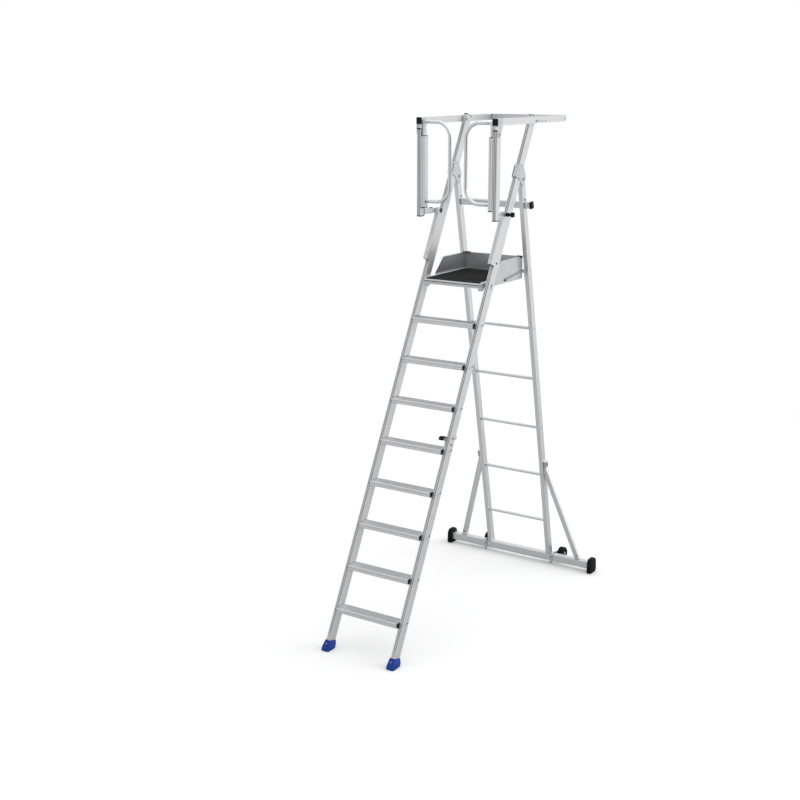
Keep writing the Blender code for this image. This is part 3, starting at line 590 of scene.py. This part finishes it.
def front_ladder_details():
    body = "front_ladder"
    for side_name, side in SIDES:
        low, high = box_in("front_stile_" + side_name, FRONT)
        foot_top = FRONT.inverted() @ Vector((0.0, low.y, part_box("front_foot_right")[1].z))
        low.z, high.z = foot_top.z, high.z - GROOVE_END
        # Dark strips in the stile grooves: painted groove shadow.
        piece("stile_grooves_" + side_name, groove_bases(low, high, FRONT), "slot", body)
        piece("stile_cap_" + side_name, stile_cap(side_name), "black", body)
        caps = [(tread_cap(number, side), LEVEL) for number in range(1, TREAD_COUNT + 1)]
        piece("tread_caps_" + side_name, merged(*caps), "black", body)
        size = {"radius": 0.0046, "height": 0.0030}
        rear_bolts = tread_rivet_places(side, (0.046,))
        fasteners("tread_bolts_" + side_name, socket_screw, rear_bolts, "dark_steel", body, **size)
        front_rivets = tread_rivet_places(side, (0.014, 0.028), -0.002)
        fasteners("tread_rivets_" + side_name, rivet, front_rivets, "steel", body, radius=0.0040)
        foot_details(side_name, side)
        slide_details(side_name, side)
        apex_details(side_name, side)
        stile_bolts(side_name, side)


def foot_details(side_name, side):
    """The rivet on the foot's front and the ribs of its sole."""
    body = "front_ladder"
    low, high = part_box("front_foot_" + side_name)
    middle = side * (STILE_IN + STILE_OUT) / 2
    face = at_height(FRONT, STILE_LOW.y, low.z + 0.046, middle) - Y * 0.0085
    ahead = (FRONT @ -Y + Z * 0.1).normalized()
    size = {"radius": 0.0052, "height": 0.0060}
    fasteners("foot_rivet_" + side_name, rivet, [(face, ahead)], "steel", body, **size)
    ribs = []
    for step in range(5):
        y = low.y + 0.022 + 0.014 * step
        rib = block((low.x + 0.004, y, low.z), (high.x - 0.004, y + 0.006, low.z + 0.003), 0.0010)
        ribs.append((rib, LEVEL))
    piece("foot_tread_" + side_name, merged(*ribs), "rubber", body)


def slide_details(side_name, side):
    """The plugs in the slide profile's ends and the screws that hold it to the stile."""
    low, high = box_in("slide_profile_" + side_name, FRONT)
    grow = Vector((0.0004, 0.0004, 0.0))
    foot = block(low - grow - Z * 0.0022, Vector((high.x, high.y, low.z + 0.0006)) + grow, 0.0008)
    head = block(Vector((low.x, low.y, high.z - 0.0006)) - grow, high + grow + Z * 0.0022, 0.0008)
    piece("slide_caps_" + side_name, merged((foot, FRONT), (head, FRONT)), "sheet", "front_ladder")
    middle = (low.x + high.x) / 2 - side * 0.005
    places = []
    for share in (0.12, 0.50, 0.88):
        up = low.z + (high.z - low.z) * share
        places.append((FRONT @ Vector((middle, low.y, up)), FRONT @ -Y))
    size = {"radius": 0.0034, "height": 0.0012}
    fasteners("slide_screws_" + side_name, rivet, places, "steel", "front_ladder", **size)


def apex_details(side_name, side):
    """Rivets through both cheeks of the apex bracket and the rubber strip down its front."""
    low, high = box_in("apex_bracket_" + side_name, FRONT)
    height = high.z - low.z
    depth = high.y - low.y
    outer, inner = (high.x, low.x) if side > 0 else (low.x, high.x)
    places = []
    for back, up in ((0.24, 0.88), (0.26, 0.19), (0.14, 0.55)):
        for x, way in ((outer, side * X), (inner, -side * X)):
            places.append((FRONT @ Vector((x, low.y + depth * back, low.z + height * up)), way))
    fasteners("apex_rivets_" + side_name, rivet, places, "steel", "front_ladder", radius=0.0046)
    x0, x1 = span(side, abs(inner) + 0.0004, abs(inner) + 0.0048)
    start = Vector((x0, low.y - 0.0014, low.z + height * 0.20))
    end = Vector((x1, low.y + 0.0006, low.z + height * 0.76))
    buffer = merged((block(start, end, 0.0007), FRONT))
    piece("apex_buffer_" + side_name, buffer, "rubber", "front_ladder")


def stile_bolts(side_name, side):
    """Fixings through the stile near the platform."""
    body = "front_ladder"
    deck_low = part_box("platform_frame")[0]
    board_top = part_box("kickboard_rear")[1].z
    outer = side * STILE_OUT
    stop = at_height(FRONT, STILE_LOW.y + 0.022, board_top + 0.004, outer)
    stop_bolt = [(stop, side * X)]
    fasteners("deck_stop_bolt_" + side_name, socket_screw, stop_bolt, "black", body, radius=0.0062)
    front_place = at_height(FRONT, STILE_LOW.y + 0.012, deck_low.z + 0.006, outer)
    rear_place = at_height(FRONT, STILE_HIGH.y - 0.010, deck_low.z - 0.004, outer)
    places = [(front_place, side * X), (rear_place, side * X)]
    fasteners("deck_side_rivets_" + side_name, rivet, places, "steel", body)


def catch_details():
    """The catch's pivot bolt and mounting plate on the right stile, and its grip."""
    at = pivot("catch_close")
    low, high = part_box("transport_catch")
    back = FRONT.inverted() @ at
    plate_low = Vector((low.x - 0.0040, back.y - 0.022, back.z - 0.060))
    plate_high = Vector((low.x - 0.0012, back.y + 0.018, back.z - 0.012))
    plate = block(plate_low, plate_high, 0.0010)
    piece("catch_plate", merged((plate, FRONT)), "sheet", "front_ladder")
    outer = FRONT @ Vector((STILE_OUT, back.y, back.z))
    places = [(outer, X), (FRONT @ Vector((STILE_OUT, back.y - 0.004, back.z - 0.042)), X)]
    places.append((FRONT @ Vector((-STILE_OUT, back.y, back.z + 0.004)), -X))
    fasteners("catch_bolts", socket_screw, places, "black", "front_ladder", radius=0.0056)
    pin_end = [(Vector((low.x, at.y, at.z)), -X)]
    fasteners("catch_pivot_bolt", hex_bolt, pin_end, "steel", "catch", radius=0.0060, height=0.0048)
    outline = [(low.y - 0.008, at.z - 0.002), (low.y + 0.030, at.z - 0.004)]
    outline += [(low.y + 0.036, at.z + 0.016), (low.y + 0.004, at.z + 0.022)]
    outline += [(low.y - 0.008, at.z + 0.012)]
    grip = slab(outline, low.x - 0.0300, high.x - 0.0004, 0.0030, 3)
    piece("catch_grip", grip, "black", "catch")


# ---------------------------------------------------------------- rear frame


def rear_point(x, back, z):
    """A point at height z on the rear leg, `back` of its middle line."""
    return at_height(REAR, (LEG_LOW.y + LEG_HIGH.y) / 2 + back, z, x)


def rear_frame_details():
    body = "rear_frame"
    rail_low, rail_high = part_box("knee_rail")
    hold_low, hold_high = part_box("latch_plate_right")
    knee_caps()
    for side_name, side in SIDES:
        outer, way = side * STILE_OUT, side * X
        rungs = [centre_of("rear_rung_" + str(number)).z for number in range(1, RUNG_COUNT + 1)]
        places = [(rear_point(outer, 0.0, z), way) for z in rungs]
        places.append((rear_point(outer, 0.010, rail_low.z - 0.004), way))
        places += [(rear_point(outer, 0.006, z), way) for z in (hold_high.z - 0.012, hold_low.z + 0.010)]
        fasteners("leg_rivets_" + side_name, rivet, places, "steel", body, radius=0.0050)
        dark = [(rear_point(outer, 0.004, rail_high.z + 0.012), way)]
        dark.append((rear_point(side * STILE_IN, 0.004, rail_high.z + 0.012), -way))
        fasteners("leg_bolt_" + side_name, socket_screw, dark, "black", body, radius=0.0060)
        strut_bracket(side_name, side)
        saddle_details(side_name, side)


def knee_caps():
    """A deep cap on the rail's right end, which stands out, and a flush plug in its left end."""
    low, high = box_in("knee_rail", REAR)
    grow = Vector((0.0, 0.0032, 0.0032))
    cap_low = Vector((high.x - 0.0030, low.y, low.z)) - grow
    cap = block(cap_low, Vector((high.x + 0.0150, high.y, high.z)) + grow, 0.0036, 4)
    plug_low = (low.x - 0.0012, low.y + 0.001, low.z + 0.001)
    plug = block(plug_low, (low.x + 0.0006, high.y - 0.001, high.z - 0.001))
    piece("knee_rail_caps", merged((cap, REAR), (plug, REAR)), "black", "rear_frame")


def strut_bracket(side_name, side):
    """The folded clip that holds the strut's upper end to the leg, with its bolts."""
    body = "rear_frame"
    low, high = box_in("strut_" + side_name, REAR)
    start, end = span(side, STILE_OUT + 0.0002, STILE_OUT + 0.0240)
    gap, reach, edge = 0.0003, 0.0028, 0.0009
    top = high.z - 0.010
    parts = []
    for y0, y1 in ((low.y - reach, low.y - gap), (high.y + gap, high.y + reach)):
        parts.append((block((start, y0, top - 0.048), (end, y1, top), edge), REAR))
    wrap = block((start, low.y - reach, top - 0.003), (end, high.y + reach, top), edge)
    parts.append((wrap, REAR))
    piece("strut_clip_" + side_name, merged(*parts), "sheet", body)
    bolts = []
    for y, way in ((low.y - reach, -Y), (high.y + reach, Y)):
        for x_share, drop in ((0.35, 0.022), (0.62, 0.044)):
            x = start + (end - start) * x_share
            bolts.append((REAR @ Vector((x, y, high.z - drop)), REAR @ way))
    size = {"radius": 0.0050, "height": 0.0040}
    fasteners("strut_bolts_" + side_name, hex_bolt, bolts, "steel", body, **size)
    foot = side * (abs(high.x if side > 0 else low.x) - 0.020)
    foot_bolt = [(REAR @ Vector((foot, low.y, low.z + 0.030)), REAR @ -Y)]
    size = {"radius": 0.0060, "height": 0.0042}
    fasteners("strut_foot_bolt_" + side_name, hex_bolt, foot_bolt, "steel", body, **size)


def saddle_details(side_name, side):
    """The saddle's bolt, the nut on its axle and the wheel's steel hub."""
    body = "rear_frame"
    low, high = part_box("bar_saddle_" + side_name)
    bar_low, bar_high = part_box("stabiliser_bar")
    strap = side * ((STILE_IN + STILE_OUT) / 2 + 0.031)
    front = Vector((strap, bar_low.y - 0.0050, (bar_low.z + bar_high.z) / 2 + 0.008))
    places = [(front, -Y)]
    size = {"radius": 0.0055, "height": 0.0045}
    fasteners("saddle_bolt_" + side_name, hex_bolt, places, "steel", body, **size)
    axle = pivot("wheel_" + side_name + "_spin")
    end = high.x if side > 0 else low.x
    nut = [(Vector((end, axle.y, axle.z)), side * X)]
    size = {"radius": 0.0058, "height": 0.0050}
    fasteners("axle_nut_" + side_name, hex_bolt, nut, "steel", body, **size)
    wheel_low, wheel_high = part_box("wheel_" + side_name)
    rim = [(0.0150, 0), (0.0150, 0.0008), (0.0128, 0.0016), (0.0085, 0.0018), (0.0080, 0.0008)]
    hub = turned([(0, 0)] + rim + [(0, 0.0008)])
    face = wheel_high.x if side > 0 else wheel_low.x
    ring = merged((hub, facing(Vector((face - side * 0.0004, axle.y, axle.z)), side * X)))
    piece("wheel_hub_" + side_name, ring, "steel", "wheel_" + side_name)


# ---------------------------------------------------------------- platform


def ribbed_mat():
    """A rubber mat with fine ribs across the platform, in place of the plain CAD slab."""
    low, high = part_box("platform_mat")
    pitch = 0.0064
    groove = 0.0016
    border = 0.010
    count = int((high.y - low.y - 2 * border) / pitch)
    start = (low.y + high.y - count * pitch) / 2
    outline = [(low.y, low.z), (high.y, low.z), (high.y, high.z - 0.0008), (high.y - 0.0008, high.z)]
    for i in reversed(range(count)):
        y = start + i * pitch
        outline += [(y + pitch, high.z), (y + pitch - 0.0004, high.z - groove)]
        outline += [(y + pitch - 0.0020, high.z - groove), (y + pitch - 0.0024, high.z)]
    outline += [(low.y + 0.0008, high.z), (low.y, high.z - 0.0008)]
    return slab(outline, low.x, high.x, 0.0)


def corner_cap(side):
    """The black protector over a top rear corner of the kickboards, clear of the latch beside it."""
    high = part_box("kickboard_rear")[1]
    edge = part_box("kickboard_right")[1].x
    top, rear = high.z + 0.0028, high.y + 0.0014
    length, lip, foot = 0.042, 0.0003, high.z - 0.010
    x0, x1 = span(side, edge - 0.0060, edge + lip)
    side_part = block((x0, high.y - length, foot), (x1, rear, top), 0.0010)
    x0, x1 = span(side, edge - length, edge + lip)
    rear_part = block((x0, high.y - 0.0058, foot), (x1, rear, top), 0.0010)
    return merged((side_part, LEVEL), (rear_part, LEVEL))


def platform_details():
    body = "platform"
    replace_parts(piece("platform_mat_ribbed", ribbed_mat(), "mat", body), "platform_mat")
    deck_low, deck_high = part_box("platform_frame")
    strips = (("deck_nose_strip", 0.0120, 0.0024, "rail"), ("deck_nose_insert", 0.0165, 0.0010, "black"))
    for name, drop, thickness, surface in strips:
        nose_low = (deck_low.x + 0.002, deck_low.y - thickness, deck_high.z - drop)
        nose_high = (deck_high.x - 0.002, deck_low.y + 0.0005, deck_high.z + 0.0030 - drop * 0.35)
        piece(name, block(nose_low, nose_high, 0.0008), surface, body)
    mat_low, mat_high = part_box("platform_mat")
    board_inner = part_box("kickboard_right")[1].x - SHEET_THICKNESS
    rear_low, rear_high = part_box("kickboard_rear")
    rear_places = [(Vector((x, rear_high.y, rear_low.z + 0.020)), Y) for x in (-0.17, -0.06, 0.06, 0.17)]
    fasteners("rear_board_rivets", rivet, rear_places, "steel", body, radius=0.0040)
    for side_name, side in SIDES:
        piece("board_corner_cap_" + side_name, corner_cap(side), "black", body)
        board_low, board_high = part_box("kickboard_" + side_name)
        outer = board_high.x if side > 0 else board_low.x
        length = board_high.y - board_low.y
        rivets = [(board_low.y + length * share, board_low.z + 0.012) for share in (0.08, 0.45, 0.88)]
        rivets.append((board_high.y - 0.010, board_high.z - 0.050))
        places = [(Vector((outer, y, z)), side * X) for y, z in rivets]
        size = {"radius": 0.0036, "height": 0.0012}
        fasteners("board_rivets_" + side_name, rivet, places, "steel", body, **size)
        x0, x1 = span(side, mat_high.x + 0.0004, board_inner - 0.0006)
        trim_low = (x0, mat_low.y, deck_high.z - 0.0004)
        trim = block(trim_low, (x1, board_high.y - 0.004, mat_high.z), 0.0006)
        piece("mat_trim_" + side_name, trim, "trim", body)
        x0, x1 = span(side, deck_high.x - 0.032, deck_high.x - 0.004)
        outline = [(deck_low.y + 0.002, deck_low.z - 0.0003), (deck_low.y + 0.034, deck_low.z - 0.0003)]
        outline += [(deck_low.y + 0.024, deck_low.z - 0.016), (deck_low.y + 0.006, deck_low.z - 0.016)]
        piece("deck_corner_" + side_name, slab(outline, x0, x1, 0.0010), "sheet", body)
        latch_details(side_name, side)


def latch_details(side_name, side):
    """The latch's pivot screw and the black grip on its front end."""
    body = "latch_" + side_name
    low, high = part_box("platform_latch_" + side_name)
    at = pivot(body + "_lift")
    hinge = [(Vector((high.x if side > 0 else low.x, at.y, at.z)), side * X)]
    size = {"radius": 0.0060, "height": 0.0030}
    fasteners("latch_pivot_" + side_name, socket_screw, hinge, "dark_steel", body, **size)
    grip_low = (low.x - 0.0006, low.y - 0.0010, low.z - 0.0012)
    grip_high = (high.x + 0.0006, low.y + 0.0300, low.z + 0.0060)
    piece("latch_grip_" + side_name, block(grip_low, grip_high, 0.0010), "black", body)


# ---------------------------------------------------------------- guard


def guard_details():
    for side_name, side in SIDES:
        rail_details(side_name, side)
        head_details(side_name, side)
        gate_post_details(side_name, side)
        gate_details(side_name, side)


def rail_details(side_name, side):
    """The side rail's end plug, end plate, hinge bolt and nut, and its screws and rivets."""
    body = "guard_rail"
    hinge = pivot("guard_fold")
    low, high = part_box("side_rail_" + side_name)
    outer, way = high.x if side > 0 else low.x, side * X
    plug_low = (low.x - 0.0008, low.y - 0.0050, low.z - 0.0008)
    plug = block(plug_low, (high.x + 0.0008, low.y + 0.0050, high.z + 0.0008), 0.0026)
    piece("rail_plug_" + side_name, plug, "black", body)
    plate_low = (low.x + 0.0006, high.y - 0.0010, low.z + 0.0006)
    plate = block(plate_low, (high.x - 0.0006, high.y + 0.0025, high.z - 0.0006), 0.0012)
    piece("rail_end_plate_" + side_name, plate, "sheet", body)
    bolt = [(Vector((outer, hinge.y, hinge.z)), way)]
    fasteners("rail_hinge_bolt_" + side_name, hex_bolt, bolt, "steel", body, radius=0.0070)
    steps = [(hinge.y + 0.030 + 0.050 * i, hinge.z - 0.002 * i) for i in range(3)]
    steps.append((high.y - 0.020, (low.z + high.z) / 2))
    places = [(Vector((outer, y, z)), way) for y, z in steps]
    size = {"radius": 0.0042, "height": 0.0022}
    fasteners("rail_side_screws_" + side_name, socket_screw, places, "dark_steel", body, **size)
    middle = (low.x + high.x) / 2
    tops = [(Vector((middle, hinge.y + gap, high.z)), Z) for gap in (0.105, 0.150, 0.330, 0.370)]
    fasteners("rail_top_rivets_" + side_name, rivet, tops, "steel", body)
    nut = [(Vector((side * STILE_IN, hinge.y, hinge.z)), -way)]
    size = {"radius": 0.0058, "height": 0.0050}
    fasteners("rail_hinge_nut_" + side_name, hex_bolt, nut, "steel", "front_ladder", **size)


def head_details(side_name, side):
    """The bolt that hangs the gate post from the rail's bracket, and the bracket's rivets."""
    body = "guard_rail"
    head = pivot("gate_post_fold")
    low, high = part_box("rail_head_bracket_" + side_name)
    face, way = high.x if side > 0 else low.x, side * X
    bolt = [(Vector((face, head.y, head.z)), way)]
    size = {"radius": 0.0058, "height": 0.0044}
    fasteners("post_hinge_bolt_" + side_name, hex_bolt, bolt, "steel", body, **size)
    rivets = [(Vector((face, head.y + gap, high.z - 0.018)), way) for gap in (0.0, 0.028)]
    size = {"radius": 0.0040, "height": 0.0014}
    fasteners("head_rivets_" + side_name, rivet, rivets, "steel", body, **size)


def end_caps(low, high, over, radius, rise=UPRIGHT_CAP):
    """Black plugs over both ends of an upright of the given section."""
    lip = Vector((over, over, 0.0008))
    top = block(Vector((low.x, low.y, high.z)) - lip, high + Vector((over, over, rise)), radius)
    foot = block(low - Vector((over, over, UPRIGHT_CAP)), Vector((high.x, high.y, low.z)) + lip, radius)
    return merged((top, LEVEL), (foot, LEVEL))


def gate_post_details(side_name, side):
    """The post's end plugs, painted groove shadows and foot rivets, and the washer on the slide profile.
    """
    body = "gate_posts"
    low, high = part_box("gate_post_" + side_name)
    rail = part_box("side_rail_" + side_name)
    inner = abs(rail[0].x if side > 0 else rail[1].x) + POST_INSET
    outer = max(abs(low.x), abs(high.x))
    x0, x1 = span(side, inner, outer)
    section_low = Vector((x0, low.y, low.z))
    section_high = Vector((x1, low.y + POST_DEPTH, high.z))
    caps = end_caps(section_low, section_high, 0.0006, 0.0014)
    piece("gate_post_caps_" + side_name, caps, "black", body)
    y = section_high.y - 0.012
    places = [(Vector((side * outer, y, low.z + rise)), side * X) for rise in (0.016, 0.032)]
    fasteners("post_foot_rivets_" + side_name, rivet, places, "steel", body, radius=0.0038)
    clear = Z * 0.002
    # Dark strips in the post grooves: painted groove shadow.
    grooves = groove_bases(section_low + clear, section_high - clear, LEVEL)
    piece("post_grooves_" + side_name, grooves, "slot", body)
    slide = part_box("slide_profile_" + side_name)
    face = slide[0].x if side > 0 else slide[1].x
    knob = centre_of("lock_knob_" + side_name)
    rim = [(0.0160, -0.0004), (0.0160, 0.0016), (0.0085, 0.0026), (0.0080, 0.0040)]
    washer = turned([(0, -0.0004)] + rim + [(0, 0.0040)])
    place = facing(Vector((face - side * 0.0008, knob.y, knob.z)), -side * X)
    piece("slide_washer_" + side_name, merged((washer, place)), "dark_steel", body)


def gate_details(side_name, side):
    """The bent tube, its rivets and the hinge stile's plugs."""
    body = "gate_" + side_name
    low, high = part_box("gate_" + side_name)
    stile_low, stile_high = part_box("gate_stile_" + side_name)
    radius = (high.y - low.y) / 2
    y = (low.y + high.y) / 2
    near, far = (low.x, high.x) if side > 0 else (high.x, low.x)
    middle_x = near + side * (radius + GATE_BEND)
    path = [Vector((far, y, high.z - radius))]
    bends = ((high.z - radius - GATE_BEND, 90), (low.z + radius + GATE_BEND, 180))
    for middle_z, start in bends:
        for i in range(17):
            turn = math.radians(start + 90 * i / 16)
            x = middle_x + side * GATE_BEND * math.cos(turn)
            path.append(Vector((x, y, middle_z + GATE_BEND * math.sin(turn))))
    path.append(Vector((far - side * 0.0065, y, low.z + radius)))
    made = piece("gate_tube_" + side_name, tube(path, radius), "gate_tube", body, 60)
    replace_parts(made, "gate_" + side_name)
    places = []
    for z in (high.z - radius, low.z + radius):
        for reach in (0.012, 0.026):
            places.append((Vector((far - side * reach, low.y + 0.0002, z)), -Y))
            places.append((Vector((far - side * reach, high.y - 0.0002, z)), Y))
    size = {"radius": 0.0034, "height": 0.0016}
    fasteners("gate_rivets_" + side_name, rivet, places, "dark_steel", body, **size)
    section_high = Vector((stile_high.x, stile_high.y, high.z - 2 * radius - STILE_DROP))
    caps = end_caps(stile_low, section_high, 0.0003, 0.0010, STILE_CAP)
    piece("gate_stile_caps_" + side_name, caps, "black", body)


# ---------------------------------------------------------------- stage


def build_floor():
    """A pale floor, brighter to the camera than in reflections, so that only soft shadows show."""
    shape = bmesh.new()
    turns = [2 * math.pi * k / 96 for k in range(96)]
    rim = [(FLOOR_RADIUS * math.cos(turn), FLOOR_RADIUS * math.sin(turn), -0.0004) for turn in turns]
    shape.faces.new([shape.verts.new(corner) for corner in rim])
    mesh = bpy.data.meshes.new("floor")
    shape.to_mesh(mesh)
    shape.free()
    floor = bpy.data.objects.new("floor", mesh)
    bpy.context.scene.collection.objects.link(floor)
    surface = Surface("pale_floor")
    seen = surface.node("LightPath", {}, "Is Camera Ray")
    tone = surface.mixed(seen, (FLOOR_TONE,) * 3, (FLOOR_SEEN_TONE,) * 3)
    glow = surface.node("Math", {0: seen, 1: FLOOR_GLOW}, "Value", operation="MULTIPLY")
    matt = {"Base Color": tone, "Roughness": 1.0, "Specular IOR Level": 0.0}
    surface.put(surface.shader, matt)
    glowing = {"Emission Color": (1.0, 1.0, 1.0, 1.0), "Emission Strength": glow}
    surface.put(surface.shader, glowing)
    mesh.materials.append(surface.material)


def soft_light(name, direction, strength, spread):
    """An even light from one direction whose source is `spread` degrees wide."""
    data = bpy.data.lights.new(name, "SUN")
    data.energy = strength
    data.angle = math.radians(spread)
    light = bpy.data.objects.new(name, data)
    light.rotation_mode = "QUATERNION"
    light.rotation_quaternion = Vector(direction).to_track_quat("Z", "Y")
    bpy.context.scene.collection.objects.link(light)


def toward(tree, side, start, end, first, last):
    """A value that goes from first to last as a sky direction turns towards a side."""
    where = tree.nodes.new("ShaderNodeTexCoord")
    nearness = tree.nodes.new("ShaderNodeVectorMath")
    nearness.operation = "DOT_PRODUCT"
    nearness.inputs[1].default_value = Vector(side).normalized()
    ramp = tree.nodes.new("ShaderNodeMapRange")
    for key, value in {"From Min": start, "From Max": end, "To Min": first, "To Max": last}.items():
        ramp.inputs[key].default_value = value
    tree.links.new(where.outputs["Generated"], nearness.inputs[0])
    tree.links.new(nearness.outputs["Value"], ramp.inputs["Value"])
    return ramp.outputs["Result"]


def joined(tree, operation, first, second):
    """One value from two, such as their product."""
    made = tree.nodes.new("ShaderNodeMath")
    made.operation = operation
    tree.links.new(first, made.inputs[0])
    tree.links.new(second, made.inputs[1])
    return made.outputs["Value"]


def build_world():
    """A white studio, brightest behind the ladder, with a dark flag ahead of it and to its right."""
    world = bpy.data.worlds.new("studio")
    world.use_nodes = True
    tree = world.node_tree
    background = tree.nodes["Background"]
    background.inputs["Color"].default_value = (1.0, 1.0, 1.0, 1.0)
    sky = toward(tree, BRIGHT_SIDE, *BRIGHT_TURN, DIM_SKY, BRIGHT_SKY)
    flag = toward(tree, FLAG_SIDE, *FLAG_TURN, 1.0, FLAG_TONE)
    seen = tree.nodes.new("ShaderNodeLightPath").outputs["Is Camera Ray"]
    brightness = joined(tree, "MAXIMUM", seen, joined(tree, "MULTIPLY", sky, flag))
    tree.links.new(brightness, background.inputs["Strength"])
    bpy.context.scene.world = world


def build_lights():
    build_world()
    soft_light("overhead", (0.1, 0.1, 1.0), 0.8, 90)
    soft_light("right_and_behind", (0.85, 0.45, 0.42), 1.1, 50)


def build_camera():
    """The viewpoint: ahead of the ladder and to its right, a little above the guard rail."""
    data = bpy.data.cameras.new("camera")
    data.sensor_width = 36.0
    data.lens = VIEW_LENS
    camera = bpy.data.objects.new("camera", data)
    camera.location = VIEWPOINT
    camera.rotation_euler = [math.radians(turn) for turn in VIEW_TURN]
    bpy.context.scene.collection.objects.link(camera)
    bpy.context.scene.camera = camera


def main():
    dress_frame()
    front_ladder_details()
    catch_details()
    rear_frame_details()
    platform_details()
    guard_details()
    build_floor()
    build_lights()
    build_camera()
    bpy.context.scene.view_settings.view_transform = "Standard"


main()
